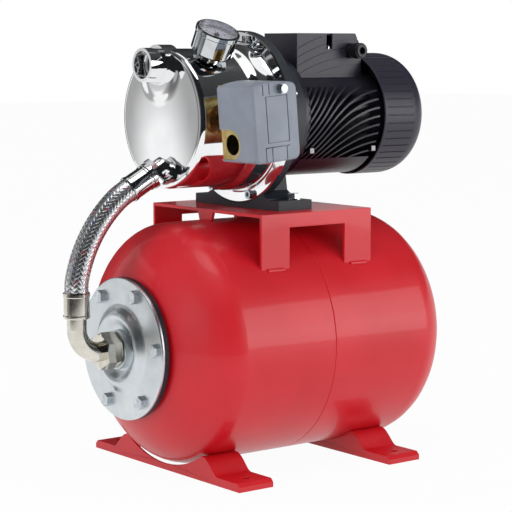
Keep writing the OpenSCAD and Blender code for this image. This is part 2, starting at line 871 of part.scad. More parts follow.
// Outer surface of the casing, grown by t, as [radius, x] points from the axis to the shoulder
function casing_outer(t) = concat(
    [[0, casing_x1 - crown_h - t], [casing_r * 0.35, casing_x1 - crown_h * 0.86 - t]],
    [[casing_r * 0.7, casing_x1 - crown_h * 0.42 - t]],
    [for (i = [0 : 6]) [
        casing_r - casing_round + (casing_round + t) * sin(90 * i / 6),
        casing_x1 + casing_round - (casing_round + t) * cos(90 * i / 6)
    ]],
    [[casing_r + t, shoulder_x - 8]],
    [for (i = [1 : 5]) [
        casing_r + t + (shoulder_r - casing_r) * (1 - cos(180 * i / 5)) / 2,
        shoulder_x - 8 + 12 * i / 5
    ]]
);

module casing_solid(t, x_end) {
    pts = casing_outer(t);
    turned(pump_z, concat(pts, [[pts[len(pts) - 1][0], x_end], [0, x_end]]));
}

module pump_casing() {
    color("#b9bcc2")
        difference() {
            union() {
                casing_solid(0, joint_x);
                ring_x(pump_z, casing_flange_x, joint_x, casing_flange_r, 60);
            }
            casing_solid(-casing_wall, joint_x + 1);
            clamp_screw_holes(casing_flange_x - 1, joint_x + 1);
            translate([0, 0, suction_rise])
                rod_x(pump_z, casing_x1 - 10, casing_x1 + 12, valve_bore_r);
            radial(ports_x, gauge_tilt)
                cylinder(h = casing_r + 10, r = 5);
            radial(ports_x, 90)
                cylinder(h = casing_r + 10, r = 5);
            radial(delivery_x, 0)
                cylinder(h = casing_r + 10, r = thread_r);
            radial(casing_x1 + 30, drain_tilt)
                cylinder(h = casing_r + 10, r = 6.5);
            outlet_axis()
                translate([0, 0, -outlet_stub_l])
                    cylinder(h = 40, r = stub_bore_r);
        }
}

// Bosses and threaded ports welded on the casing
module casing_ports() {
    color("#c3c6ca") {
        difference() {
            union() {
                translate([0, 0, suction_rise]) {
                    rod_x(pump_z, suction_x1, casing_x1 + 12, suction_r);
                    rod_x(pump_z, casing_x1 - 7, casing_x1 + 12, suction_r + 3.5);
                }
                teardrop();
            }
            casing_solid(0, 0);
            translate([0, 0, suction_rise]) {
                rod_x(pump_z, suction_x1 - 1, suction_x1 + thread_l, thread_r);
                rod_x(pump_z, suction_x1, casing_x1 + 20, valve_bore_r);
            }
        }
        port_boss(ports_x, gauge_tilt, boss_r, boss_h, 5);
        port_boss(ports_x, 90, boss_r, boss_h, 5);
        port_boss(delivery_x, 0, suction_r + 1.5, delivery_l, thread_r);
        port_boss(casing_x1 + 30, drain_tilt, 11, boss_h, 6.5);
        difference() {
            outlet_axis() {
                translate([0, 0, 5 - outlet_stub_l])
                    cylinder(h = 22, r = stub_r - 1.5);
                translate([0, 0, -outlet_stub_l])
                    cylinder(h = 8, r = stub_r);
            }
            casing_solid(0, 0);
            outlet_axis()
                translate([0, 0, -outlet_stub_l - 1])
                    cylinder(h = 60, r = stub_bore_r);
        }
    }
}

// The pressed saddle below the suction port, running down the casing's front
module teardrop() {
    hull() {
        translate([0, 0, suction_rise])
            rod_x(pump_z, casing_x1 - 4, casing_x1 + 8, suction_r + 1.5, $fn = 32);
        translate([0, 0, suction_rise - 34])
            rod_x(pump_z, casing_x1 - crown_h - 0.2, casing_x1 + 8, 5, $fn = 32);
    }
}

module port_boss(x, tilt, r, h, bore) {
    difference() {
        radial(x, tilt)
            translate([0, 0, casing_r - 8])
                cylinder(h = h + 8, r = r);
        casing_solid(0, 0);
        radial(x, tilt)
            cylinder(h = casing_r + h + 1, r = bore);
    }
}

// Three-armed spider that guides the suction valve's stem
module inlet_guide() {
    arm_w = 2.2;
    hub_r = 4;
    color("#8f9296")
        difference() {
            union() {
                translate([0, 0, suction_rise]) {
                    ring_x(pump_z, guide_x1, guide_x1 + guide_l, valve_bore_r - 0.05, valve_bore_r - 2.5);
                    rod_x(pump_z, guide_x1, guide_x1 + guide_l, hub_r);
                }
                translate([guide_x1, 0, pump_z + suction_rise])
                    for (a = [90, 210, 330])
                        rotate([a, 0, 0])
                            translate([0, -arm_w / 2, 0])
                                cube([guide_l - 1, arm_w, valve_bore_r - 2]);
            }
            translate([0, 0, suction_rise])
                rod_x(pump_z, guide_x1 - 1, guide_x1 + guide_l + 1, stem_r + run_gap);
        }
}

// Disc and stem of the suction valve, shown shut
module inlet_poppet() {
    disc_x = guide_x1 + guide_l + 0.3;
    disc_t = 3;
    color("#3a3c40")
        translate([0, 0, suction_rise]) {
            rod_x(pump_z, guide_x1 - 0.7, disc_x + disc_t, stem_r);
            rod_x(pump_z, disc_x, disc_x + disc_t, valve_bore_r - move_gap);
        }
}

module drain_plug() {
    color("#b98f4a")
        radial(casing_x1 + 30, drain_tilt) {
            translate([0, 0, casing_r - 4])
                cylinder(h = boss_h + 4, r = 6.35);
            translate([0, 0, casing_r + boss_h])
                cylinder(h = 5, r = 9, $fn = 6);
        }
}

module clamp_screw_holes(x1, x2) {
    round_x(pump_z, ring_screw_r, clamp_screw_count, clamp_screw_turn)
        rod_x(0, x1, x2, m6_r + screw_gap);
}

module clamp_ring() {
    color("#d4d6da")
        difference() {
            turned(pump_z, [
                [ring_bore_r, casing_flange_x],
                [ring_bore_r, ring_x1 + 1.5],
                [ring_bore_r + 1.5, ring_x1],
                [ring_r - 1.5, ring_x1],
                [ring_r, ring_x1 + 1.5],
                [ring_r, casing_flange_x]
            ]);
            clamp_screw_holes(ring_x1 - 1, casing_flange_x + 1);
        }
}

module clamp_screws() {
    color("#b9bcc2")
        difference() {
            round_x(pump_z, ring_screw_r, clamp_screw_count, clamp_screw_turn) {
                rod_x(0, ring_x1 - 5, ring_x1, 5);
                rod_x(0, ring_x1 - eps, seal_plate_x2 + 10, m6_r);
            }
            round_x(pump_z, ring_screw_r, clamp_screw_count, clamp_screw_turn)
                hex_x(0, ring_x1 - 6, ring_x1 - 2, 5);
        }
}

module casing_o_ring() {
    color("#1b1c1e")
        x_axis(pump_z)
            translate([0, 0, joint_x])
                rotate_extrude()
                    translate([shoulder_r - casing_wall - 2.2, -1.2])
                        circle(r = 1.2, $fn = 24);
}

module seal_plate() {
    color("#aeb1b6")
        difference() {
            turned(pump_z, [
                [13.05, joint_x - 2],
                [18, joint_x - 2],
                [18, joint_x],
                [casing_flange_r, joint_x],
                [casing_flange_r, seal_plate_x2],
                [16, seal_plate_x2],
                [16, joint_x + 5],
                [13.05, joint_x + 5]
            ]);
            clamp_screw_holes(joint_x - 1, seal_plate_x2 + 1);
        }
}

// Plastic guide round the impeller, with its front wall and the seat of the ejector
module diffuser() {
    out_r = casing_r - casing_wall - 3;
    in_r = impeller_r + 3;
    front_x = impeller_front_x - 6;
    color("#2c2e33")
        turned(pump_z, [
            [20, front_x],
            [out_r, front_x],
            [out_r, joint_x],
            [in_r, joint_x],
            [in_r, front_x + 3],
            [20, front_x + 3]
        ]);
}

// Venturi tube with its suction bell in front of the impeller's eye
module ejector() {
    front_x = impeller_front_x - 6;
    bell_x = casing_x1 + 14;
    color("#23252a")
        turned(pump_z, [
            [7, bell_x],
            [21, bell_x],
            [21, bell_x + 3],
            [13, bell_x + 12],
            [12, front_x - 8],
            [24, front_x - 3],
            [24, front_x],
            [16, front_x],
            [8.5, front_x - 8],
            [6, bell_x + 18]
        ]);
}

module impeller() {
    eye_r = 20;
    color("#b98f4a") {
        difference() {
            union() {
                ring_x(pump_z, impeller_back_x - shroud_t, impeller_back_x, impeller_r, shaft_r);
                ring_x(pump_z, impeller_front_x + 1, impeller_back_x + 4, hub_r, shaft_r);
            }
        }
        ring_x(pump_z, impeller_front_x, impeller_front_x + shroud_t, impeller_r, eye_r);
        intersection() {
            ring_x(pump_z, impeller_front_x + shroud_t, impeller_back_x - shroud_t, impeller_r, hub_r + 2);
            for (i = [0 : vane_count - 1])
                x_axis(pump_z)
                    rotate([0, 0, 360 * i / vane_count])
                        translate([0, impeller_r * 0.62, impeller_front_x])
                            difference() {
                                cylinder(h = impeller_w, r = impeller_r * 0.62);
                                translate([0, 0, -1])
                                    cylinder(h = impeller_w + 2, r = impeller_r * 0.62 - 2);
                                translate([-impeller_r * 2, -impeller_r * 2, -1])
                                    cube([impeller_r * 2, impeller_r * 4, impeller_w + 2]);
                            }
        }
    }
}

module impeller_nut() {
    color("#b9bcc2")
        difference() {
            hex_x(pump_z, nut_x, impeller_front_x + 1, 18);
            rod_x(pump_z, nut_x - 1, impeller_front_x + 2, shaft_r);
        }
}

module seal_seat() {
    color("#e6e2d8")
        ring_x(pump_z, joint_x - 2, joint_x + 5, 13, shaft_r + 1.5);
}

// Rotating half of the shaft seal: rubber bellows with its carbon face
module seal_head() {
    color("#2a2b2e")
        turned(pump_z, [
            [shaft_r, impeller_back_x + 4],
            [13, impeller_back_x + 4],
            [13, joint_x - 5],
            [11, joint_x - 2 - run_gap],
            [shaft_r, joint_x - 2 - run_gap]
        ]);
}

// ---------------------------------------------------------------- motor

// Cast bracket between the pump and the motor, with the foot under it
module motor_bracket() {
    body_x2 = motor_x1;
    color("#2b3036")
        difference() {
            union() {
                turned(pump_z, [
                    [0, seal_plate_x2],
                    [casing_flange_r + 0.2, seal_plate_x2],
                    [casing_flange_r + 0.2, casing_flange_x],
                    [ring_r - 0.5, casing_flange_x],
                    [ring_r - 0.5, seal_plate_x2 + 6],
                    [ring_r - 8, seal_plate_x2 + 9],
                    [fin_r + 2, seal_plate_x2 + 18],
                    [fin_r - 1, body_x2],
                    [0, body_x2]
                ]);
                motor_foot();
            }
            rod_x(pump_z, seal_plate_x2 + 5, body_x2 + 1, bearing_r);
            ring_x(pump_z, seal_plate_x2 + 22, body_x2 + 1, stator_r - 2, bearing_r + 5);
            rod_x(pump_z, seal_plate_x2 - 1, seal_plate_x2 + 6, 16.5);
            ring_x(pump_z, seal_plate_x2 - 1, seal_plate_x2 + 4, casing_flange_r - 16, 24);
            rod_x(pump_z, foot_plate_x1 - 1, casing_flange_x, ring_r + 0.3);
            rod_x(pump_z, casing_flange_x - 1, seal_plate_x2, casing_flange_r + 0.2);
            clamp_screw_holes(casing_flange_x - 1, seal_plate_x2 + 12);
        }
}

module motor_foot() {
    web_y = 42;
    top_z = pump_z - fin_r + 10;
    difference() {
        union() {
            translate([foot_plate_x1, -foot_plate_w / 2, motor_foot_z])
                cube([foot_plate_l, foot_plate_w, foot_plate_t]);
            translate([foot_plate_x1, 0, 0])
                rotate([90, 0, 90])
                    linear_extrude(foot_plate_l - 6)
                        polygon([
                            [-web_y - 14, motor_foot_z],
                            [-web_y - 14, motor_foot_z + foot_plate_t + 1],
                            [-web_y, motor_foot_z + foot_plate_t + 9],
                            [-web_y + 4, top_z],
                            [web_y - 4, top_z],
                            [web_y, motor_foot_z + foot_plate_t + 9],
                            [web_y + 14, motor_foot_z + foot_plate_t + 1],
                            [web_y + 14, motor_foot_z]
                        ]);
        }
        rod_x(pump_z, casing_flange_x - 10, casing_flange_x, ring_r + 0.3);
        rod_x(pump_z, seal_plate_x2 + 18, motor_x1 + 60, fin_r);
        for (side = [-1, 1])
            translate([foot_bolt_x, side * foot_bolt_y, motor_foot_z - 1])
                cylinder(h = foot_plate_t + 10, r = m8_r + screw_gap);
    }
}

module foot_bolts() {
    color("#c9cdd2")
        for (side = [-1, 1])
            translate([foot_bolt_x, side * foot_bolt_y, 0]) {
                translate([0, 0, motor_foot_z + foot_plate_t])
                    cylinder(h = 1.6, r = 8.5);
                translate([0, 0, motor_foot_z + foot_plate_t + 1.6])
                    cylinder(h = 5.3, r = 13 / sqrt(3), $fn = 6);
                translate([0, 0, bracket_z - bracket_t - 10])
                    cylinder(h = foot_plate_t + bracket_t + 11, r = m8_r);
                translate([0, 0, bracket_z - bracket_t - 6.5])
                    cylinder(h = 6.5, r = 13 / sqrt(3), $fn = 6);
            }
}

// One side of a fin seen from the side: level at the fan end, it curves down and runs on straight
function fin_side(r) = concat(
    [for (i = [0 : 10]) let (a = fin_sweep * i / 10) [-r * sin(a), r * cos(a)]],
    [[-r * sin(fin_sweep) - motor_l * cos(fin_sweep), r * cos(fin_sweep) - motor_l * sin(fin_sweep)]]
);

// Fin number i, as a sheet through the whole body
module fin_sheet(i) {
    translate([motor_x2 - 2, fin_r + 5, pump_z + i * fin_pitch - fin_curve_r])
        rotate([90, 0, 0])
            linear_extrude(2 * fin_r + 10)
                polygon(concat(fin_side(fin_curve_r + fin_t / 2), reversed(fin_side(fin_curve_r - fin_t / 2))));
}

// Cast aluminium motor body with curved fins, a smooth strip below and a seat for the capacitor
module motor_body() {
    fin_x1 = motor_x1 + 6;
    fin_x2 = fan_cover_x1 - 6;
    color("#1e1e26")
        difference() {
            union() {
                rod_x(pump_z, motor_x1, motor_x2, motor_r);
                rod_x(pump_z, motor_x1, motor_x1 + 6, fin_r - 1);
                intersection() {
                    ring_x(pump_z, fin_x1 - 1, fin_x2, fin_r, motor_r - 1);
                    translate([motor_x1, -fin_r - 1, pump_z - strip_drop - 1])
                        cube([motor_l, 2 * fin_r + 2, pad_z - 6 - pump_z + strip_drop]);
                    for (i = [-4 : 10])
                        fin_sheet(i);
                }
                intersection() {
                    rod_x(pump_z, fin_x1 - 1, fin_x2, fin_r);
                    translate([motor_x1, -fin_r - 1, pump_z - fin_r - 1])
                        cube([motor_l, 2 * fin_r + 2, fin_r + 1 - strip_drop]);
                }
                translate([box_x1 + 10, -8, pump_z])
                    cube([56, 16, motor_r + 1]);
            }
            rod_x(pump_z, motor_x1 - 1, motor_x2 + 1, stator_r);
            for (side = [-1, 1])
                translate([box_mid_x, side * box_screw_y, box_screw_z1])
                    cylinder(h = motor_r, r = box_screw_r + screw_gap);
        }
}

module stator_core() {
    slot_count = 24;
    color("#8d8f92")
        difference() {
            ring_x(pump_z, stack_x1, stack_x2, stator_r - 0.05, rotor_r + air_gap);
            round_x(pump_z, rotor_r + 9, slot_count, 0)
                rod_x(0, stack_x1 - 1, stack_x2 + 1, 2.6);
        }
}

module stator_windings() {
    slot_count = 24;
    color("#b4652a") {
        for (x = [stack_x1 - 14, stack_x2 + 1])
            ring_x(pump_z, x, x + 13, stator_r - 6, rotor_r + 4);
        round_x(pump_z, rotor_r + 9, slot_count, 0)
            rod_x(0, stack_x1 - 2, stack_x2 + 2, 2.4);
    }
}

module rotor_core() {
    color("#9a9ca0")
        union() {
            ring_x(pump_z, stack_x1, stack_x2, rotor_r, rotor_bore_r);
            for (x = [stack_x1 - 5, stack_x2])
                ring_x(pump_z, x, x + 5, rotor_r - 2, rotor_r - 10);
        }
}

module shaft() {
    color("#b9bcc2")
        turned(pump_z, [
            [0, nut_x - 2],
            [shaft_r - 1, nut_x - 2],
            [shaft_r, nut_x - 1],
            [shaft_r, seal_plate_x2 + 3],
            [bearing_bore_r, seal_plate_x2 + 3],
            [bearing_bore_r, front_bearing_x + bearing_w],
            [rotor_bore_r, front_bearing_x + bearing_w],
            [rotor_bore_r, rear_bearing_x],
            [bearing_bore_r, rear_bearing_x],
            [bearing_bore_r, rear_bearing_x + bearing_w],
            [shaft_r, rear_bearing_x + bearing_w],
            [shaft_r, shaft_end_x],
            [0, shaft_end_x]
        ]);
}

bearing_xs = [front_bearing_x, rear_bearing_x];

// Ball track of a bearing, grown by the running gap
module ball_track(x) {
    x_axis(pump_z)
        translate([0, 0, x + bearing_w / 2])
            rotate_extrude()
                translate([ball_ring_r, 0])
                    circle(r = ball_r + run_gap);
}

module bearing_outer_rings() {
    color("#c4c7cc")
        for (x = bearing_xs)
            difference() {
                ring_x(pump_z, x, x + bearing_w, bearing_r - 0.02, ball_ring_r + ball_r * 0.62);
                ball_track(x);
            }
}

module bearing_inner_rings() {
    color("#c4c7cc")
        for (x = bearing_xs)
            difference() {
                ring_x(pump_z, x, x + bearing_w, ball_ring_r - ball_r * 0.62, bearing_bore_r);
                ball_track(x);
            }
}

// Balls of both bearings with their cages
module bearing_balls() {
    cage_t = ball_r * 0.36;
    color("#d9dbde")
        for (x = bearing_xs) {
            round_x(pump_z, ball_ring_r, ball_count, 0)
                translate([x + bearing_w / 2, 0, 0])
                    sphere(r = ball_r, $fn = 36);
            translate([x + bearing_w / 2, 0, 0])
                ring_x(pump_z, -1, 1, ball_ring_r + cage_t, ball_ring_r - cage_t);
        }
}

module rear_shield() {
    x2 = rear_bearing_x + bearing_w + 2;
    color("#2b2d33")
        difference() {
            turned(pump_z, [
                [0, motor_x2],
                [motor_r, motor_x2],
                [motor_r, motor_x2 + shield_t],
                [bearing_r + 8, motor_x2 + shield_t + 3],
                [bearing_r + 4, x2],
                [0, x2]
            ]);
            rod_x(pump_z, motor_x2 - 1, rear_bearing_x + bearing_w, bearing_r);
            rod_x(pump_z, motor_x2, x2 + 1, bearing_bore_r + 2);
        }
}

module fan() {
    color("#26272b") {
        difference() {
            union() {
                rod_x(pump_z, fan_x1, fan_x1 + fan_w, 14);
                rod_x(pump_z, fan_x1, fan_x1 + 3, fan_r - 12);
                for (i = [0 : blade_count - 1])
                    translate([fan_x1 + 1, 0, pump_z])
                        rotate([360 * (i + 0.3) / blade_count, 0, 0])
                            translate([0, -1, hub_r])
                                cube([fan_w - 2, 2, fan_r - hub_r]);
            }
            rod_x(pump_z, fan_x1 - 1, fan_x1 + fan_w + 1, shaft_r);
        }
    }
}

// Half section of the fan cover, d thinner than the outside: a cylinder that rounds into a flat end
function cover_profile(d) = let (
    r = fan_cover_r - d,
    corner_x = fan_cover_x2 - cover_corner,
    depth = cover_corner - d
) [
    for (i = [0 : 10]) let (a = 90 * i / 10) [
        28 + (r - 28) * pow(cos(a), 0.9),
        corner_x + depth * pow(sin(a), 0.9)
    ]
];

module fan_cover() {
    color("#1e1e26")
        difference() {
            union() {
                turned(pump_z, concat(
                    [[fan_cover_r - fan_cover_t, fan_cover_x1], [fan_cover_r, fan_cover_x1]],
                    cover_profile(0),
                    [[10, fan_cover_x2], [9, fan_cover_x2 + 4]],
                    [[0, fan_cover_x2 + 4], [0, fan_cover_x2 - fan_cover_t]],
                    reversed(cover_profile(fan_cover_t))
                ));
                for (a = [45, 135, 225, 315])
                    translate([fan_cover_x1, 0, pump_z])
                        rotate([a, 0, 0])
                            translate([0, -4, motor_r])
                                cube([8, 8, fan_cover_r - motor_r - fan_cover_t]);
            }
            for (i = [0 : vent_count - 1])
                translate([fan_cover_x2 - 32, 0, pump_z])
                    rotate([360 * i / vent_count, 0, 0])
                        translate([0, -1.6, 15])
                            cube([40, 3.2, 32]);
        }
}

// Side view of the terminal box, as [x, z] with its rear top corner cut off
module box_outline(inset, z1) {
    x1 = box_x1 + inset;
    x2 = box_x1 + box_l - inset;
    polygon([
        [x1, z1],
        [x2, z1],
        [x2, box_z2 - 16],
        [x2 - 9, box_z2 - inset],
        [x1, box_z2 - inset]
    ]);
}

// Cover of the terminal box: open below, saddled on the motor body, with a screw pocket in each long side
module terminal_box() {
    post_w = 14;
    post_d = 11;
    pocket_w = 9;
    pocket_d = 3;
    color("#211f2a")
        difference() {
            union() {
                difference() {
                    translate([0, box_w / 2, 0])
                        rotate([90, 0, 0])
                            linear_extrude(box_w)
                                box_outline(0, pad_z);
                    translate([0, box_w / 2 - box_wall, 0])
                        rotate([90, 0, 0])
                            linear_extrude(box_w - 2 * box_wall)
                                box_outline(box_wall, pad_z - 1);
                }
                for (side = [-1, 1])
                    translate([box_mid_x - post_w / 2, side * (box_w - post_d) / 2 - post_d / 2, pad_z])
                        cube([post_w, post_d, box_pocket_z - pad_z]);
            }
            rod_x(pump_z, box_x1 - 1, box_x1 + box_l + 1, motor_r);
            for (side = [-1, 1]) {
                translate([box_mid_x - pocket_w / 2, side * box_w / 2 - pocket_d, box_pocket_z])
                    cube([pocket_w, 2 * pocket_d, box_pocket_h + 2]);
                translate([box_mid_x, side * box_screw_y, pad_z - 1])
                    cylinder(h = box_h, r = box_screw_r + screw_gap);
            }
            translate([gland_x, box_wall + 1 - box_w / 2, gland_z])
                rotate([90, 0, 0])
                    cylinder(h = box_wall + 2, r = gland_r - 2.5);
        }
}

module box_screws() {
    color("#8f9296")
        for (side = [-1, 1])
            translate([box_mid_x, side * box_screw_y, 0]) {
                translate([0, 0, box_pocket_z])
                    cylinder(h = 3, r = 3.4);
                translate([0, 0, box_screw_z1])
                    cylinder(h = box_pocket_z + eps - box_screw_z1, r = box_screw_r);
            }
}

// Run capacitor lying on the seat cast on top of the motor body
module capacitor() {
    z = pump_z + motor_r + 1 + capacitor_r;
    color("#d8d8d4") {
        rod_x(z, box_x1 + 8, box_x1 + 68, capacitor_r);
        rod_x(z, box_x1 + 68 - eps, box_x1 + 71, capacitor_r - 4);
    }
}

module cable_gland() {
    color("#17181a")
        translate([gland_x, -box_w / 2, gland_z])
            rotate([90, 0, 0])
                difference() {
                    union() {
                        cylinder(h = 5, r = gland_r + 1, $fn = 6);
                        cylinder(h = 12, r = gland_r - 1.5);
                        translate([0, 0, 8])
                            cylinder(h = 10, r = gland_r);
                        translate([0, 0, 17.9])
                            cylinder(h = 2.1, r = gland_r - 1.5);
                        translate([0, 0, -box_wall - 3])
                            cylinder(h = 10, r = gland_r - 2.6);
                    }
                    translate([0, 0, -10])
                        cylinder(h = 40, r = gland_bore_r);
                }
}

// ---------------------------------------------------------------- gauge

module gauge_case() {
    color("#d5d7db")
        radial(ports_x, gauge_tilt)
            difference() {
                union() {
                    translate([0, 0, gauge_back])
                        rotate_extrude()
                            polygon([
                                [0, 0],
                                [gauge_r - 3, 0],
                                [gauge_r - 1, 2],
                                [gauge_r - 1, gauge_depth - 6],
                                [gauge_r, gauge_depth - 5],
                                [gauge_r, gauge_depth - 1],
                                [gauge_r - 1, gauge_depth],
                                [0, gauge_depth]
                            ]);
                    translate([0, 0, casing_r - 3])
                        cylinder(h = gauge_back - casing_r + 3, r = 4.8);
                    translate([0, 0, casing_r + boss_h])
                        cylinder(h = gauge_stand, r = 8, $fn = 6);
                }
                translate([0, 0, gauge_back + 1.5])
                    cylinder(h = gauge_depth, r = gauge_r - 2.5);
                translate([0, 0, casing_r - 4])
                    cylinder(h = gauge_stand + boss_h + 3, r = 2);
            }
}

module gauge_dial() {
    color("#eceded")
        radial(ports_x, gauge_tilt)
            ring_z(gauge_face - 9, gauge_face - 8, gauge_r - 2.6, 2);
}

module gauge_pointer() {
    color("#1a1a1c")
        radial(ports_x, gauge_tilt) {
            translate([0, 0, gauge_face - 13])
                cylinder(h = 7.4, r = 1.2);
            translate([0, 0, gauge_face - 6.8])
                cylinder(h = 1, r = 3);
            rotate([0, 0, 135])
                translate([-0.7, -6, gauge_face - 6.6])
                    cube([1.4, gauge_r - 1.5, 0.7]);
        }
}

module gauge_lens() {
    color([0.85, 0.9, 0.92, 0.3])
        radial(ports_x, gauge_tilt)
            translate([0, 0, gauge_face - 3.5])
                cylinder(h = 2, r = gauge_r - 2.6);
}

// ---------------------------------------------------------------- pressure switch

// Painted steel cover, open at the back, with a cut-out round the cable entry
module switch_cover() {
    color("#8f949d")
        switch_frame()
            difference() {
                translate([-switch_l / 2, switch_y - switch_d, switch_z1])
                    cube([switch_l, switch_d, switch_h]);
                translate([
                    -switch_l / 2 + switch_wall,
                    switch_y - switch_d + switch_wall,
                    switch_z1 + switch_wall
                ])
                    cube([switch_l - 2 * switch_wall, switch_d, switch_h - 2 * switch_wall]);
                translate([-switch_l / 2 - 1, switch_y - conduit_y, -conduit_drop])
                    rotate([0, 90, 0])
                        cylinder(h = switch_wall + 2, r = conduit_r + 5);
                translate([-switch_l / 2 - 1, switch_y - conduit_y, -conduit_drop - conduit_r - 5])
                    cube([switch_wall + 2, 30, 2 * conduit_r + 10]);
                translate([stud_x, switch_y - switch_d - 1, stud_z])
                    rotate([-90, 0, 0])
                        cylinder(h = switch_wall + 2, r = 3.2);
            }
}

// Zinc plated frame under the cover: a back plate, a side plate with the cable entry and a cover stud
module switch_base() {
    gap = 0.3;
    x1 = -switch_l / 2 + switch_wall + gap;
    color("#d8c489")
        switch_frame()
            difference() {
                union() {
                    translate([x1, switch_y - 3, switch_z1 + switch_wall + gap])
                        cube([switch_l - 2 * (switch_wall + gap), 3, switch_h - 2 * (switch_wall + gap)]);
                    translate([x1, switch_y - 44, -conduit_drop - conduit_r - 6])
                        cube([2, 44, 2 * conduit_r + 12]);
                    translate([stud_x, switch_y, stud_z])
                        rotate([90, 0, 0])
                            cylinder(h = switch_d + 2, r = 3);
                    for (x = [-8.1, 5.1])
                        translate([x, switch_y - 14, -4])
                            cube([3, 12, 8]);
                }
                translate([x1 - 1, switch_y - conduit_y, -conduit_drop])
                    rotate([0, 90, 0])
                        cylinder(h = 5, r = conduit_r);
                translate([0, switch_y + 1, 0])
                    rotate([90, 0, 0])
                        cylinder(h = 6, r = 4);
                translate([-10, switch_y - 10, 0])
                    rotate([0, 90, 0])
                        cylinder(h = 20, r = 1.5);
            }
}

module switch_cap_nut() {
    color("#cfd2d6")
        switch_frame()
            translate([stud_x, switch_y - switch_d, stud_z])
                rotate([90, 0, 0])
                    difference() {
                        union() {
                            cylinder(h = 5, r = 5.6, $fn = 6);
                            translate([0, 0, 4.9])
                                cylinder(h = 2, r = 4.4);
                        }
                        translate([0, 0, -1])
                            cylinder(h = 6, r = 3.05);
                    }
}

// Brass housing of the switch's diaphragm with its screwed stem
module diaphragm_housing() {
    color("#a5713f")
        switch_frame()
            translate([0, -casing_r, 0])
                rotate([90, 0, 0])
                    difference() {
                        union() {
                            translate([0, 0, -3])
                                cylinder(h = 10, r = 4.8);
                            translate([0, 0, boss_h])
                                cylinder(h = 6, r = 12.7, $fn = 6);
                            translate([0, 0, boss_h + 6])
                                cylinder(h = switch_stand - boss_h - 6, r = diaphragm_r);
                        }
                        translate([0, 0, -4])
                            cylinder(h = 12, r = 2);
                    }
}

// Lever that the diaphragm tips to open the contacts
module switch_lever() {
    color("#c9cdd2")
        switch_frame()
            translate([0, switch_y - 10, 0]) {
                translate([-8, 0, 0])
                    rotate([0, 90, 0])
                        cylinder(h = 16, r = 1.5 - run_gap);
                translate([-4.5, -2, 0])
                    cube([9, 2, 26]);
                translate([-4.5, -2, -3])
                    cube([9, 4, 6]);
            }
}

tank_front_shell();
tank_rear_shell();
counter_flange();
flange_cover();
flange_bolts();
bladder();
front_foot();
rear_foot();
pump_bracket();
air_valve();
valve_cap();
elbow_adapter();
elbow_pipe();
lower_ferrule();
hose_liner();
hose_braid();
upper_ferrule();
hose_nut();
pump_casing();
casing_ports();
inlet_guide();
inlet_poppet();
drain_plug();
clamp_ring();
clamp_screws();
casing_o_ring();
seal_plate();
diffuser();
ejector();
impeller();
impeller_nut();
seal_seat();
seal_head();
motor_bracket();
foot_bolts();
motor_body();
stator_core();
stator_windings();
rotor_core();
shaft();
bearing_outer_rings();
bearing_inner_rings();
bearing_balls();
rear_shield();
fan();
fan_cover();
terminal_box();
box_screws();
capacitor();
cable_gland();
gauge_case();
gauge_dial();
gauge_pointer();
gauge_lens();
switch_base();
switch_cover();
switch_cap_nut();
diaphragm_housing();
switch_lever();
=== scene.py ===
import math

import bmesh
import bpy
from mathutils import Matrix, Vector


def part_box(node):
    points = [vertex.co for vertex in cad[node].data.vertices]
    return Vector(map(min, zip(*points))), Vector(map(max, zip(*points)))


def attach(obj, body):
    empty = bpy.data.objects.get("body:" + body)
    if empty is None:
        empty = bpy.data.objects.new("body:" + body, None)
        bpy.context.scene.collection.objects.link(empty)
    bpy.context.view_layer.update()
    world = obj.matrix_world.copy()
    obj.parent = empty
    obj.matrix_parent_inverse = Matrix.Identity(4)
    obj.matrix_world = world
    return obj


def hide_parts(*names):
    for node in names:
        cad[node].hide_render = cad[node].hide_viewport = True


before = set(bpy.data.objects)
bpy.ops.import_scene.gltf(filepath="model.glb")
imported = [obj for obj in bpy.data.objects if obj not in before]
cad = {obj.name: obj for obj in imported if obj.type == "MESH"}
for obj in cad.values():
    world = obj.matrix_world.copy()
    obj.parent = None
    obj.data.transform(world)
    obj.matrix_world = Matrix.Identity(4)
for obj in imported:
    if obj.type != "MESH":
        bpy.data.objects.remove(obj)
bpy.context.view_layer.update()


# ---------------------------------------------------------------- camera
# The camera stands in front of the suction end on the switch side, a little above the pump's
# axis, far enough back for the flat look of a long lens.

camera_data = bpy.data.cameras.new("camera")
camera_data.lens = 126.4
camera_data.sensor_width = 36
camera = bpy.data.objects.new("camera", camera_data)
bpy.context.scene.collection.objects.link(camera)
camera.location = (-1.2589, -1.6246, 0.4692)
camera.rotation_euler = Vector((0.6088, 0.7849, -0.1149)).to_track_quat("-Z", "Y").to_euler()
bpy.context.scene.camera = camera


# ---------------------------------------------------------------- studio
# White paper sweep, a large soft box over the set, one low at the right front and one at the left.
# Boards that only polished metal sees, one bright and four dark, give it its light and deep tones.


def linear(hex_colour):
    """An sRGB hex colour as the linear RGBA that shaders take."""
    parts = [int(hex_colour[i:i + 2], 16) / 255 for i in (1, 3, 5)]
    return tuple(c / 12.92 if c <= 0.04045 else ((c + 0.055) / 1.055) ** 2.4 for c in parts) + (1.0,)


def add_node(tree, kind, links=(), **settings):
    """A new node. Each setting is a property or an input socket, and each link is (input, output)."""
    node = tree.nodes.new(kind)
    for name, value in settings.items():
        if hasattr(node, name):
            setattr(node, name, value)
        else:
            node.inputs[name.replace("_", " ")].default_value = value
    for socket, output in links:
        tree.links.new(output, node.inputs[socket])
    return node


def node_material(name):
    """An empty node material and its output node."""
    material = bpy.data.materials.new(name)
    material.use_nodes = True
    material.node_tree.nodes.clear()
    return material, material.node_tree, material.node_tree.nodes.new("ShaderNodeOutputMaterial")


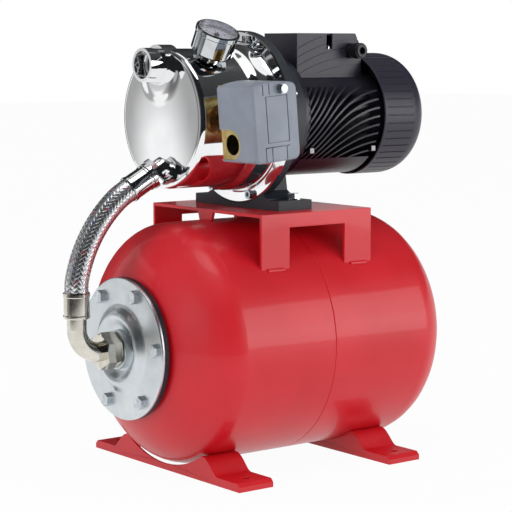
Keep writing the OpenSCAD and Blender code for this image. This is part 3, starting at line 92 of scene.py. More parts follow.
def show_white(tree, lit, shade_kept):
    """lit, mixed towards plain white for the camera and for what mirrors or refracts it."""
    path = add_node(tree, "ShaderNodeLightPath")
    seen = add_node(tree, "ShaderNodeMath",
                    [(0, path.outputs["Is Camera Ray"]), (1, path.outputs["Is Glossy Ray"])],
                    operation="MAXIMUM")
    seen = add_node(tree, "ShaderNodeMath",
                    [(0, seen.outputs[0]), (1, path.outputs["Is Transmission Ray"])],
                    operation="MAXIMUM")
    part = add_node(tree, "ShaderNodeMath", [(0, seen.outputs[0])], operation="MULTIPLY")
    part.inputs[1].default_value = 1 - shade_kept
    white = add_node(tree, "ShaderNodeEmission" if shade_kept else "ShaderNodeBackground")
    white.inputs["Color"].default_value = (1, 1, 1, 1)
    return add_node(tree, "ShaderNodeMixShader",
                    [(0, part.outputs[0]), (1, lit.outputs[0]), (2, white.outputs[0])])


world = bpy.data.worlds.new("studio")
world.use_nodes = True
sky = world.node_tree
sky.nodes.clear()
dim = add_node(sky, "ShaderNodeBackground", Color=(0.78, 0.80, 0.84, 1), Strength=0.62)
sky_out = add_node(sky, "ShaderNodeOutputWorld")
sky.links.new(show_white(sky, dim, 0).outputs[0], sky_out.inputs["Surface"])
bpy.context.scene.world = world
bpy.context.scene.view_settings.view_transform = "Standard"

paper, tree, out = node_material("matt_white_paper")
lit = add_node(tree, "ShaderNodeBsdfDiffuse", Color=(0.9, 0.9, 0.9, 1))
tree.links.new(show_white(tree, lit, 0.04).outputs[0], out.inputs["Surface"])


def flat_mesh(name, corners):
    """One flat four-cornered sheet."""
    mesh = bpy.data.meshes.new(name)
    mesh.from_pydata(corners, [], [tuple(range(len(corners)))])
    thing = bpy.data.objects.new(name, mesh)
    bpy.context.scene.collection.objects.link(thing)
    return thing


floor_half = 12
floor = flat_mesh("paper_floor", [(-floor_half, -floor_half, 0), (floor_half, -floor_half, 0),
                                  (floor_half, floor_half, 0), (-floor_half, floor_half, 0)])
floor.data.materials.append(paper)


def aimed(thing, place, target):
    """Puts a lamp or board at a place, facing the target with its -Z side."""
    thing.location = place
    thing.rotation_euler = (Vector(target) - Vector(place)).to_track_quat("-Z", "Y").to_euler()
    return thing


def soft_box(name, place, size, power):
    """A white area lamp of a size in metres and a power in watts, facing the middle of the set."""
    lamp = bpy.data.lights.new(name, "AREA")
    lamp.shape = "RECTANGLE"
    lamp.size, lamp.size_y = size
    lamp.energy = power
    thing = bpy.data.objects.new(name, lamp)
    bpy.context.scene.collection.objects.link(thing)
    return aimed(thing, place, (0, 0, 0.28))


soft_box("overhead_box", (-0.5, -0.6, 2.6), (1.6, 1.6), 16)
soft_box("side_box", (1.7, -2.3, 0.45), (1.6, 2.3), 36)
soft_box("left_box", (-2.6, -0.4, 0.9), (1.2, 1.4), 16)


def board(name, azimuths, heights, tone, distance=4.0):
    """A curved board that only mirror-like surfaces see. It spans azimuths and heights, in degrees
    as seen from the pump, and tone gives the grey from 0 to 1 at each place."""
    steps = 24
    verts, faces, greys = [], [], []
    for i in range(steps + 1):
        azimuth = azimuths[0] + (azimuths[1] - azimuths[0]) * i / steps
        for j in range(steps + 1):
            height = heights[0] + (heights[1] - heights[0]) * j / steps
            a, e = math.radians(azimuth), math.radians(height)
            verts.append((distance * math.cos(a) * math.cos(e), distance * math.sin(a) * math.cos(e),
                          0.4 + distance * math.sin(e)))
            greys.append(tone(azimuth, height))
            if i and j:
                k = i * (steps + 1) + j
                faces.append((k - steps - 2, k - steps - 1, k, k - 1))
    mesh = bpy.data.meshes.new(name)
    mesh.from_pydata(verts, [], faces)
    mesh.attributes.new("tone", "FLOAT", "POINT").data.foreach_set("value", greys)
    material, tree, out = node_material(name + "_paint")
    grey = add_node(tree, "ShaderNodeAttribute", attribute_name="tone")
    ramp = add_node(tree, "ShaderNodeValToRGB", [(0, grey.outputs["Fac"])])
    ramp.color_ramp.elements[0].color = linear("#0b0d11")
    ramp.color_ramp.elements[1].color = linear("#ffffff")
    glow = add_node(tree, "ShaderNodeEmission", [("Color", ramp.outputs["Color"])])
    tree.links.new(glow.outputs[0], out.inputs["Surface"])
    mesh.materials.append(material)
    thing = bpy.data.objects.new(name, mesh)
    bpy.context.scene.collection.objects.link(thing)
    thing.visible_camera = False
    thing.visible_diffuse = False
    thing.visible_shadow = False
    thing.visible_transmission = False
    return thing


def glow_spot(azimuth, height):
    """White in the middle of what the casing's front mirrors, grey round it."""
    away = math.hypot(azimuth - 127.8, (height + 9) / 1.5)
    edge = max(0.0, min(1.0, (azimuth - 138) / 8))
    return (1 - 0.6 * max(0.0, min(1.0, (away - 3.9) / 5.5))) * (1 - 0.6 * edge)


board("front_board", (112, 150), (-9.5, 18), glow_spot, 2.1)
board("right_board", (-75, 75), (6, 58), lambda azimuth, height: 0.01 + 0.05 * (height - 6) / 52)
board("near_board", (-209, -66), (-16, 60), lambda azimuth, height: max(0.01, (-178 - azimuth) / 70), 1.45)
board("edge_board", (58, 104), (-13, 60), lambda azimuth, height: 0.03, 1.6)
board("high_board", (104, 205), (24, 80), lambda azimuth, height: 0.02 + 0.12 * (height - 24) / 56, 3.0)


# ---------------------------------------------------------------- pressure tank
# Two deep-drawn steel shells, the rear one lapped under the front one, with two pressed feet and
# the pump's bridge welded on. All of it is sprayed together in a thick red gloss enamel.


def finished(node, material, bevel_mm=0.4):
    """Gives a CAD node its material, smooth faces and, if bevel_mm isn't 0, small worn edges."""
    thing = cad[node]
    thing.data.materials.clear()
    thing.data.materials.append(material)
    thing.data.shade_smooth()
    if not bevel_mm:
        return thing
    weld = thing.modifiers.new("joined_faces", "WELD")
    weld.merge_threshold = 1e-6
    edge = thing.modifiers.new("broken_edges", "BEVEL")
    edge.width = bevel_mm / 1000
    edge.segments = 2
    edge.limit_method = "ANGLE"
    edge.angle_limit = math.radians(32)
    thing.modifiers.new("flat_faces", "WEIGHTED_NORMAL").weight = 80
    return thing


def surface(name, **sockets):
    """A node material around one shader, with the shader's sockets set by name."""
    material, tree, out = node_material(name)
    shader = add_node(tree, "ShaderNodeBsdfPrincipled", **sockets)
    tree.links.new(shader.outputs[0], out.inputs["Surface"])
    return material, tree, shader


def noise(tree, size_mm, detail=3.0, stretch=(1, 1, 1)):
    """Noise whose lumps measure about size_mm, longer where stretch is below one."""
    place = add_node(tree, "ShaderNodeTexCoord")
    scaled = add_node(tree, "ShaderNodeMapping", [("Vector", place.outputs["Object"])])
    scaled.inputs["Scale"].default_value = stretch
    return add_node(tree, "ShaderNodeTexNoise", [("Vector", scaled.outputs[0])],
                    Scale=1000 / size_mm, Detail=detail)


def tinted(tree, factor, low, high, start=0.3, end=0.7):
    """A colour that goes from low to high as factor goes from start to end."""
    ramp = add_node(tree, "ShaderNodeValToRGB", [(0, factor)])
    ramp.color_ramp.elements[0].position = start
    ramp.color_ramp.elements[0].color = linear(low)
    ramp.color_ramp.elements[1].position = end
    ramp.color_ramp.elements[1].color = linear(high)
    return ramp.outputs["Color"]


def spread(tree, factor, low, high):
    """factor, spread from low to high."""
    return add_node(tree, "ShaderNodeMapRange", [(0, factor)], To_Min=low, To_Max=high).outputs[0]


def relief(tree, shader, height, depth_mm):
    """Raises the surface by a height from 0 to 1, times depth_mm."""
    bump = add_node(tree, "ShaderNodeBump", [("Height", height)], Distance=depth_mm / 1000, Strength=1.0)
    tree.links.new(bump.outputs[0], shader.inputs["Normal"])
    return bump


# Sprayed and baked alkyd enamel: deep red under a wet-looking skin, with faint orange peel.
enamel, tree, shader = surface("baked_red_enamel", Roughness=0.4, Coat_Weight=0.22, Coat_Roughness=0.05,
                               IOR=1.45)
cloud = noise(tree, 90, 2)
tree.links.new(tinted(tree, cloud.outputs["Fac"], "#cf0f1c", "#dc1c2a"), shader.inputs["Base Color"])
peel = noise(tree, 5.5, 1)
relief(tree, shader, peel.outputs["Fac"], 0.05)

for node in ("tank_front_shell", "tank_rear_shell", "front_foot", "rear_foot", "pump_bracket"):
    finished(node, enamel, 0.8 if "foot" in node or node == "pump_bracket" else 0.3)


# ---------------------------------------------------------------- flange
# A pressed steel cover, bright zinc plated, clamps the bladder's rim against a thick dark
# counter flange. Six hexagon bolts hold it, and its ring is pressed in for stiffness.

# Electroplated zinc with a blue passivate: silky, cloudy, and a little cold.
zinc, tree, shader = surface("blue_passivated_zinc", Metallic=1.0, Roughness=0.3)
cloud = noise(tree, 22, 4)
tree.links.new(tinted(tree, cloud.outputs["Fac"], "#ccd2d6", "#dde2e5"), shader.inputs["Base Color"])
fine = noise(tree, 1.6, 2)
tree.links.new(spread(tree, fine.outputs["Fac"], 0.24, 0.40), shader.inputs["Roughness"])
relief(tree, shader, cloud.outputs["Fac"], 0.08)
finished("flange_cover", zinc, 0.5)

# Zinc on forged bolts: brighter on the flats, duller in the corners.
bolt_zinc, tree, shader = surface("zinc_plated_bolt", Metallic=1.0)
fine = noise(tree, 6, 3)
tree.links.new(tinted(tree, fine.outputs["Fac"], "#b4bcc3", "#dfe4e8"), shader.inputs["Base Color"])
tree.links.new(spread(tree, fine.outputs["Fac"], 0.2, 0.34), shader.inputs["Roughness"])
for node in ("flange_bolts", "foot_bolts"):
    finished(node, bolt_zinc, 0)

# Phosphated steel: dark slate, dry, with a fine crystalline tooth.
phosphate, tree, shader = surface("phosphated_steel", Metallic=0.6, Roughness=0.45)
fine = noise(tree, 1.8, 4)
tree.links.new(tinted(tree, fine.outputs["Fac"], "#20262c", "#39434c"), shader.inputs["Base Color"])
relief(tree, shader, fine.outputs["Fac"], 0.05)
finished("counter_flange", phosphate, 0.6)

# Butyl and nitrile rubber as moulded: black, dull, slightly dusty.
rubber, tree, shader = surface("moulded_black_rubber", Roughness=0.7)
fine = noise(tree, 3, 3)
tree.links.new(tinted(tree, fine.outputs["Fac"], "#141416", "#232326"), shader.inputs["Base Color"])
relief(tree, shader, fine.outputs["Fac"], 0.04)
for node in ("bladder", "casing_o_ring", "hose_liner", "seal_head"):
    finished(node, rubber, 0.2)


# ---------------------------------------------------------------- air valve
# Turned brass tyre-type valve in the rear dome's centre, under a screwed plastic cap.

# Free-cutting brass as turned: warm yellow, fine rings from the tool.
brass, tree, shader = surface("turned_brass", Metallic=1.0, Roughness=0.3)
rings = noise(tree, 1.2, 2, (1, 0.15, 0.15))
tree.links.new(tinted(tree, rings.outputs["Fac"], "#b98a4a", "#d9b069"), shader.inputs["Base Color"])
relief(tree, shader, rings.outputs["Fac"], 0.03)
for node in ("air_valve", "drain_plug", "impeller"):
    finished(node, brass, 0.3)

# Glass-filled nylon straight from the mould: black with a faint grain.
nylon, tree, shader = surface("moulded_black_nylon", Roughness=0.42)
fine = noise(tree, 1.1, 3)
tree.links.new(tinted(tree, fine.outputs["Fac"], "#101114", "#1d1e22"), shader.inputs["Base Color"])
relief(tree, shader, fine.outputs["Fac"], 0.04)
for node in ("valve_cap", "cable_gland", "fan", "diffuser", "ejector", "inlet_poppet"):
    finished(node, nylon, 0.3)


# ---------------------------------------------------------------- elbow and hose ends
# Nickel plated brass: a forged hexagon adapter, a bent tube elbow and two crimped ferrules with
# rolled beads. The nut at the pump's end is the same.

# Bright nickel on brass: warm white mirror, slightly yellow where the plating is thin.
nickel, tree, shader = surface("bright_nickel_on_brass", Metallic=1.0, Roughness=0.1)
cloud = noise(tree, 14, 3)
tree.links.new(tinted(tree, cloud.outputs["Fac"], "#cac5b8", "#e2dfd6"), shader.inputs["Base Color"])
tree.links.new(spread(tree, cloud.outputs["Fac"], 0.05, 0.14), shader.inputs["Roughness"])
for node in ("elbow_adapter", "elbow_pipe", "lower_ferrule"):
    finished(node, nickel, 0)

# Bright nickel over steel: a colder mirror.
cold_nickel, tree, shader = surface("bright_nickel_on_steel", Metallic=1.0, Roughness=0.09)
cloud = noise(tree, 12, 3)
tree.links.new(tinted(tree, cloud.outputs["Fac"], "#c3c5c7", "#e2e3e4"), shader.inputs["Base Color"])
tree.links.new(spread(tree, cloud.outputs["Fac"], 0.05, 0.13), shader.inputs["Roughness"])
for node in ("upper_ferrule", "hose_nut"):
    finished(node, cold_nickel, 0)


# ---------------------------------------------------------------- braided hose
# A rubber tube under a sleeve of stainless wire. Flat bundles of wire cross over and under each
# other, and a few bundles carry a red or blue tracer thread.

hose_r = 0.0132
route_step = 0.0005
braid_angle = 45
bundles = 16
wires = 4
bundle_w = 2 * math.pi * hose_r * math.cos(math.radians(braid_angle)) / bundles * 0.92
elbow_leg_x = -0.242
outlet_tilt = 62


def hose_route():
    """Points along the hose's middle, half a millimetre apart, as (x, z, lean), from end to end."""
    x, z, lean = elbow_leg_x, 0.1835, 0.0
    bends = [(0.0322, 0, 0), (0.030, 0, 12), (0.1478, 12, 50), (0.080, 50, outlet_tilt)]
    points = [(x, z, lean)]
    for radius, start, stop in bends:
        length = radius if start == stop else radius * math.radians(stop - start)
        count = max(1, round(length / route_step))
        for i in range(count):
            if start != stop:
                lean = start + (stop - start) * (i + 0.5) / count
            x += length / count * math.sin(math.radians(lean))
            z += length / count * math.cos(math.radians(lean))
            points.append((x, z, lean))
    for i in range(58):
        x += route_step * math.sin(math.radians(outlet_tilt))
        z += route_step * math.cos(math.radians(outlet_tilt))
        points.append((x, z, outlet_tilt))
    return points


route = hose_route()


def hose_point(i, turn, r):
    """A point r from the hose's middle line, at its step i and an angle round it."""
    x, z, lean = route[i]
    lean = math.radians(lean)
    side = r * math.cos(turn)
    return (x + side * math.cos(lean), r * math.sin(turn), z - side * math.sin(lean))


def faced_out(mesh):
    """Joins points that coincide, and turns every face of a closed mesh outward."""
    shape = bmesh.new()
    shape.from_mesh(mesh)
    bmesh.ops.remove_doubles(shape, verts=shape.verts, dist=1e-7)
    bmesh.ops.recalc_face_normals(shape, faces=shape.faces)
    shape.to_mesh(mesh)
    shape.free()
    mesh.update()


def make(name, verts, faces, body="base", slot=None, smooth=True):
    """A mesh piece that rides on a body. slot is not used."""
    mesh = bpy.data.meshes.new(name)
    mesh.from_pydata(verts, [], faces)
    faced_out(mesh)
    if smooth:
        mesh.shade_smooth()
    thing = bpy.data.objects.new(name, mesh)
    bpy.context.scene.collection.objects.link(thing)
    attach(thing, body)
    return thing


def braid():
    """Every bundle as a row of half-round wires that rise and sink where bundles cross."""
    turn_per_m = math.tan(math.radians(braid_angle)) / hose_r
    verts, faces, tracer = [], [], []
    across = 2 * wires + 1
    half_turn = bundle_w / 2 / math.cos(math.radians(braid_angle)) / hose_r
    for way in (-1, 1):
        for k in range(bundles):
            base_turn = 2 * math.pi * (k + (0.25 if way > 0 else 0)) / bundles
            first = len(verts)
            rows = 0
            for i in range(len(route)):
                run = turn_per_m * i * route_step
                turn = base_turn + way * run
                crossed = k + way * (run * bundles / math.pi + 0.25)
                weave = way * math.cos(math.pi / 2 * (crossed + k) - math.pi / 4)
                for j in range(across):
                    u = j / (across - 1) * 2 - 1
                    wire = abs(math.sin(math.pi * wires * (u + 1) / 2))
                    r = hose_r - 0.0008 + 0.0003 * weave * (1 - 0.3 * u * u) + 0.00028 * wire
                    verts.append(hose_point(i, turn + u * half_turn, r))
                rows += 1
            for i in range(rows - 1):
                for j in range(across - 1):
                    a = first + i * across + j
                    faces.append((a, a + 1, a + across + 1, a + across))
                    tracer.append((way, k, j, i))
    return verts, faces, tracer


verts, faces, tracer = braid()
braid_piece = make("wire_braid", verts, faces, slot="steel_braid")
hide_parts("hose_braid")

# Soft stainless wire, drawn bright: each wire is a fine mirror with dark gaps between.
wire, tree, shader = surface("drawn_stainless_wire", Metallic=1.0, Roughness=0.28)
fine = noise(tree, 4, 2)
tree.links.new(tinted(tree, fine.outputs["Fac"], "#d2d4d8", "#f4f5f6"), shader.inputs["Base Color"])
# Dyed polyester tracer threads: matt red and blue specks in the braid.
red_thread, tree, shader = surface("dyed_red_thread", Roughness=0.8)
fine = noise(tree, 1.5, 2)
tree.links.new(tinted(tree, fine.outputs["Fac"], "#8e2430", "#b8404c"), shader.inputs["Base Color"])
blue_thread, tree, shader = surface("dyed_blue_thread", Roughness=0.8)
fine = noise(tree, 1.5, 2)
tree.links.new(tinted(tree, fine.outputs["Fac"], "#25406e", "#3f629c"), shader.inputs["Base Color"])
for material in (wire, red_thread, blue_thread):
    braid_piece.data.materials.append(material)
for polygon, (way, k, j, i) in zip(braid_piece.data.polygons, tracer):
    if k in (3, 13) and j in (3, 4):
        polygon.material_index = 1 if way > 0 else 2

# The dark rubber seen through the gaps of the braid.
sleeve_r = hose_r - 0.0013
sides = 48
verts = [hose_point(i, 2 * math.pi * j / sides, sleeve_r)
         for i in range(0, len(route), 8) for j in range(sides)]
rows = len(verts) // sides
faces = [(i * sides + j, i * sides + (j + 1) % sides,
          (i + 1) * sides + (j + 1) % sides, (i + 1) * sides + j)
         for i in range(rows - 1) for j in range(sides)]
under_sleeve = make("rubber_under_braid", verts, faces, slot="black_rubber")
under_sleeve.data.materials.append(rubber)


# ---------------------------------------------------------------- pump casing
# Deep-drawn stainless shell, mirror polished, with its welded ports and bosses. The suction port
# stands on a pressed saddle at the top of the crowned front.

pump_z = 0.392
casing_r = 0.077
casing_x1 = -0.1305
joint_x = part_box("pump_casing")[1].x
shoulder_r = 0.082
crown_h = 0.003
casing_round = 0.006
suction_z = 0.451
collar_r = 0.022
saddle_h = 0.0022
saddle_r = 0.040
saddle_drop = 0.006


def turned(name, profile, z, slot, body="base", sides=128, closed=True):
    """A piece turned about an axis along X at height z. The profile is a loop of (x, r)."""
    verts, faces = [], []
    for x, r in profile:
        for k in range(sides):
            a = 2 * math.pi * k / sides
            verts.append((x, r * math.cos(a), z + r * math.sin(a)))
    count = len(profile)
    for i in range(count if closed else count - 1):
        n = (i + 1) % count
        for k in range(sides):
            m = (k + 1) % sides
            faces.append((i * sides + k, i * sides + m, n * sides + m, n * sides + k))
    return make(name, verts, faces, body, slot)


def arc(cx, cy, r, start, stop, count):
    """Points on an arc of radius r, from start to stop degrees."""
    return [(cx + r * math.cos(math.radians(start + (stop - start) * i / count)),
             cy + r * math.sin(math.radians(start + (stop - start) * i / count))) for i in range(count + 1)]


def casing_line(t):
    """Half section of the casing's surface, t outside the sheet, from the middle to the flange."""
    crown = [(casing_x1 - crown_h * (1 - (r / casing_r) ** 2) - t, r)
             for r in [(casing_r - casing_round) * i / 36 for i in range(36)]]
    corner = [(casing_x1 + casing_round - (casing_round + t) * math.cos(math.radians(a)),
               casing_r - casing_round + (casing_round + t) * math.sin(math.radians(a)))
              for a in range(6, 91, 7)]
    rise = [(joint_x - 0.038 + 0.012 * i / 12,
             casing_r + t + (shoulder_r - casing_r) * (1 - math.cos(math.pi * i / 12)) / 2)
            for i in range(13)]
    return crown + corner + rise


wall = 0.0015
flange_r = 0.092
outer = casing_line(0)
inner = casing_line(-wall)
outline = (outer + [(joint_x - wall - 0.002, shoulder_r), (joint_x - wall - 0.0004, shoulder_r + 0.0016),
                    (joint_x - wall, shoulder_r + 0.003), (joint_x - wall, flange_r), (joint_x, flange_r),
                    (joint_x, shoulder_r - wall)] + list(reversed(inner)))
casing = turned("polished_casing", outline, pump_z, "polished_stainless", sides=160, closed=False)


def prism(name, rings, turn=None):
    """A closed solid between outlines of as many points each. It is a cutter, or the start of a piece."""
    n = len(rings[0])
    verts = [point for ring in rings for point in ring]
    faces = [tuple(range(n)), tuple(range(len(verts) - n, len(verts)))]
    for i in range(len(rings) - 1):
        faces += [(i * n + k, i * n + (k + 1) % n, (i + 1) * n + (k + 1) % n, (i + 1) * n + k)
                  for k in range(n)]
    mesh = bpy.data.meshes.new(name)
    mesh.from_pydata(verts, [], faces)
    if turn:
        mesh.transform(turn)
    faced_out(mesh)
    thing = bpy.data.objects.new(name, mesh)
    bpy.context.scene.collection.objects.link(thing)
    return thing


def rod(name, start, end, r, sides=64):
    """A plain round rod between two points, used as a cutter."""
    start, end = Vector(start), Vector(end)
    turn = (end - start).to_track_quat("Z", "Y").to_matrix()
    outline = [(r * math.cos(2 * math.pi * k / sides), r * math.sin(2 * math.pi * k / sides))
               for k in range(sides)]
    return prism(name, [[tuple(base + turn @ Vector((x, y, 0))) for x, y in outline]
                        for base in (start, end)])


def block(name, low, high, turn=None):
    """A plain block, used as a cutter."""
    x1, y1, z1 = low
    x2, y2, z2 = high
    return prism(name, [[(x1, y1, z), (x2, y1, z), (x2, y2, z), (x1, y2, z)] for z in (z1, z2)], turn)


def carve(thing, cutters):
    """Cuts each cutter out of a piece and keeps the result as the piece's mesh."""
    for cutter in cutters:
        cut = thing.modifiers.new("cut", "BOOLEAN")
        cut.operation = "DIFFERENCE"
        cut.solver = "EXACT"
        cut.object = cutter
        bpy.context.view_layer.update()
        solid = thing.evaluated_get(bpy.context.evaluated_depsgraph_get())
        mesh = bpy.data.meshes.new_from_object(solid)
        thing.modifiers.clear()
        thing.data = mesh
        bpy.data.objects.remove(cutter)
    return thing


def copy_of(node, name):
    """A joined-up copy of a CAD node, as the start of a finer piece that stands for it."""
    shape = bmesh.new()
    shape.from_mesh(cad[node].data)
    bmesh.ops.remove_doubles(shape, verts=shape.verts, dist=1e-6)
    mesh = bpy.data.meshes.new(name)
    shape.to_mesh(mesh)
    shape.free()
    mesh.materials.clear()
    thing = bpy.data.objects.new(name, mesh)
    bpy.context.scene.collection.objects.link(thing)
    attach(thing, "base")
    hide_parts(node)
    return thing


def eased(thing, width_mm, segments=2, angle=32):
    """Rounds a piece's sharp edges."""
    edge = thing.modifiers.new("eased_edges", "BEVEL")
    edge.width = width_mm / 1000
    edge.segments = segments
    edge.limit_method = "ANGLE"
    edge.angle_limit = math.radians(angle)
    thing.modifiers.new("flat_faces", "WEIGHTED_NORMAL").weight = 80
    return thing


delivery_x = -0.0615
suction_bore_r = 0.0142
delivery_bore_r = 0.01515
flat_r = casing_r - casing_round
rim_fade = 0.012


def eased_step(t):
    """0 to 1 with a soft start and end."""
    t = max(0.0, min(1.0, t))
    return t * t * (3 - 2 * t)


def saddle(y, z):
    """How far the sheet is pressed out round the suction port, dying away across the front."""
    away = math.hypot(y, z - suction_z + saddle_drop)
    rim = math.hypot(y, z - pump_z)
    return (saddle_h * eased_step((saddle_r - away) / (saddle_r - collar_r))
            * eased_step((flat_r - rim) / rim_fade))


def front_x(y, z):
    """Where the pressed front's outside lies."""
    return casing_x1 - crown_h * (1 - (y * y + (z - pump_z) ** 2) / casing_r ** 2) - saddle(y, z)


def within_front(point):
    """Whether a point lies inside the front's rounded edge."""
    return math.hypot(point.y, point.z - pump_z) < flat_r + 0.0001


for vertex in casing.data.vertices:
    if vertex.co.x < casing_x1 + 0.0001 + wall and within_front(vertex.co):
        vertex.co.x -= saddle(vertex.co.y, vertex.co.z)
carve(casing, [
    rod("suction_hole", (casing_x1 - 0.01, 0, suction_z), (casing_x1 + 0.012, 0, suction_z), suction_bore_r),
    rod("delivery_hole", (delivery_x, 0, pump_z), (delivery_x, 0, 0.49), delivery_bore_r),
])


def crown_normal(point):
    """The true normal on the pressed front, and nothing elsewhere."""
    y, z, near = point.y, point.z, 0.0002
    on_front = abs(point.x - front_x(y, z)) < 0.0004
    if not (on_front and within_front(point)):
        return (0, 0, 0)
    return tuple(Vector((-1, (front_x(y + near, z) - front_x(y - near, z)) / (2 * near),
                         (front_x(y, z + near) - front_x(y, z - near)) / (2 * near))).normalized())


casing.data.shade_smooth()
casing.data.normals_split_custom_set_from_vertices([crown_normal(v.co) for v in casing.data.vertices])
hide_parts("pump_casing")

# Mirror-polished 304 stainless: a clean mirror with the faintest swirl from the buffing wheel.
mirror, tree, shader = surface("mirror_polished_stainless", Metallic=1.0, Roughness=0.05)
cloud = noise(tree, 40, 2)
tree.links.new(tinted(tree, cloud.outputs["Fac"], "#eeeff0", "#f8f8f9"), shader.inputs["Base Color"])
swirl = noise(tree, 9, 3, (0.3, 1, 1))
tree.links.new(spread(tree, swirl.outputs["Fac"], 0.03, 0.085), shader.inputs["Roughness"])
casing.data.materials.append(mirror)
finished("clamp_ring", mirror, 0)

ports = copy_of("casing_ports", "welded_ports")
around_collar = block("around_collar", (casing_x1 - 0.008, -0.035, pump_z + 0.012),
                      (casing_x1 + 0.0085, 0.035, pump_z + 0.084))
carve(around_collar, [rod("kept_collar", (casing_x1 - 0.02, 0, suction_z), (casing_x1 + 0.02, 0, suction_z),
                          collar_r, 96)])
carve(ports, [around_collar])
ports.data.materials.append(mirror)
ports.data.shade_smooth()
eased(ports, 0.3)

# Stamped stainless, left as rolled: grey with a fine directional grain.
rolled, tree, shader = surface("rolled_stainless_sheet", Metallic=1.0, Roughness=0.3)
grain = noise(tree, 3, 3, (1, 0.1, 1))
tree.links.new(tinted(tree, grain.outputs["Fac"], "#9da0a5", "#bfc2c6"), shader.inputs["Base Color"])
tree.links.new(spread(tree, grain.outputs["Fac"], 0.22, 0.4), shader.inputs["Roughness"])
finished("seal_plate", rolled, 0)

# Nickel plated die casting, left satin.
satin, tree, shader = surface("satin_nickel_casting", Metallic=0.7, Roughness=0.5)
fine = noise(tree, 2, 3)
tree.links.new(tinted(tree, fine.outputs["Fac"], "#b9babd", "#d2d3d6"), shader.inputs["Base Color"])
finished("inlet_guide", satin, 0)

# Class 8.8 socket screws, zinc plated: bright rims, dark sockets.
for node in ("clamp_screws", "box_screws"):
    finished(node, bolt_zinc, 0)


# ---------------------------------------------------------------- shaft line
# Ground stainless shaft with a brass impeller, its nut, the seal's halves and two ball bearings.

# Centreless-ground steel: bright, with hair lines round the shaft.
ground, tree, shader = surface("ground_bearing_steel", Metallic=1.0, Roughness=0.18)
rings = noise(tree, 0.8, 2, (1, 0.1, 0.1))
tree.links.new(tinted(tree, rings.outputs["Fac"], "#b4b7bb", "#d8dadd"), shader.inputs["Base Color"])
tree.links.new(spread(tree, rings.outputs["Fac"], 0.1, 0.26), shader.inputs["Roughness"])
for node in ("impeller_nut", "shaft", "bearing_outer_rings", "bearing_inner_rings", "bearing_balls",
             "switch_lever"):
    finished(node, ground, 0.2)

# Lapped alumina: off-white, almost glossy.
alumina, tree, shader = surface("lapped_alumina", Roughness=0.2)
fine = noise(tree, 1, 2)
tree.links.new(tinted(tree, fine.outputs["Fac"], "#dcd8cd", "#ece9e1"), shader.inputs["Base Color"])
finished("seal_seat", alumina, 0.2)


# ---------------------------------------------------------------- motor bracket
# Sand-cast iron, painted: it joins the pump to the motor and stands on the tank's bridge.

# Thin black-grey primer over a sand casting: dull, pebbly, slightly blue.
cast_paint, tree, shader = surface("painted_sand_casting", Roughness=0.5)
sand = noise(tree, 1.6, 4)
tree.links.new(tinted(tree, sand.outputs["Fac"], "#20252b", "#333a42"), shader.inputs["Base Color"])
tree.links.new(spread(tree, sand.outputs["Fac"], 0.36, 0.62), shader.inputs["Roughness"])
relief(tree, shader, sand.outputs["Fac"], 0.16)
finished("motor_bracket", cast_paint, 0.8)


# ---------------------------------------------------------------- motor
# Die-cast aluminium body with sweeping fins, painted near-black; copper windings and laminated
# cores inside; a rear shield behind it.

# Semi-gloss blue-black stove paint: the light lies on it as a mauve-grey sheen.
stove_paint, tree, shader = surface("blue_black_stove_paint", Roughness=0.36, IOR=1.5)
fine = noise(tree, 2.2, 3)
tree.links.new(tinted(tree, fine.outputs["Fac"], "#1a1921", "#292732"), shader.inputs["Base Color"])
tree.links.new(spread(tree, fine.outputs["Fac"], 0.26, 0.42), shader.inputs["Roughness"])
relief(tree, shader, fine.outputs["Fac"], 0.04)
for node in ("motor_body", "rear_shield"):
    finished(node, stove_paint, 0.25)

# Two cast bosses with machined faces stand on the lower strip, on each side.
machined, tree, shader = surface("milled_cast_aluminium", Metallic=1.0, Roughness=0.4)
fine = noise(tree, 1.5, 2, (1, 0.2, 1))
tree.links.new(tinted(tree, fine.outputs["Fac"], "#77777c", "#8f8f94"), shader.inputs["Base Color"])
boss_z = pump_z - 0.038
boss_half = 0.0032
for side in (-1, 1):
    for boss_x in (0.034, 0.126):
        rings = [[(boss_x + x * half, side * y, boss_z + z * half)
                  for x, z in ((-1, -1), (1, -1), (1, 1), (-1, 1))]
                 for y, half in ((0.050, boss_half), (0.0608, boss_half), (0.0612, boss_half * 0.86))]
        boss = prism("strip_boss", rings)
        boss.data.materials.append(machined)
        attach(boss, "base")

# Stacked electrical steel: thin sheets seen on edge, half a millimetre apart.
stack, tree, shader = surface("stacked_electrical_steel", Metallic=1.0, Roughness=0.42)
place = add_node(tree, "ShaderNodeTexCoord")
layers = add_node(tree, "ShaderNodeTexWave", [("Vector", place.outputs["Object"])], bands_direction="X",
                  Scale=1000 / 0.5 / (2 * math.pi) * 2, Distortion=0.4)
tree.links.new(tinted(tree, layers.outputs["Fac"], "#6c6f73", "#a2a5aa"), shader.inputs["Base Color"])
relief(tree, shader, layers.outputs["Fac"], 0.05)
for node in ("stator_core", "rotor_core"):
    finished(node, stack, 0.2)

# Enamelled copper wire under brown varnish.
copper, tree, shader = surface("varnished_copper_wire", Metallic=0.8, Roughness=0.3, Coat_Weight=0.6)
place = add_node(tree, "ShaderNodeTexCoord")
turns = add_node(tree, "ShaderNodeTexWave", [("Vector", place.outputs["Object"])], bands_direction="DIAGONAL",
                 Scale=1000 / 1.2 / 2, Distortion=2)
tree.links.new(tinted(tree, turns.outputs["Fac"], "#7d3a16", "#c97a3d"), shader.inputs["Base Color"])
relief(tree, shader, turns.outputs["Fac"], 0.2)
finished("stator_windings", copper, 0.6)


# ---------------------------------------------------------------- fan cover
# Injection-moulded hood over the fan: shallow grooves run along its front part, the end is
# rounded with a centring nub, and air comes in through slots round the end.

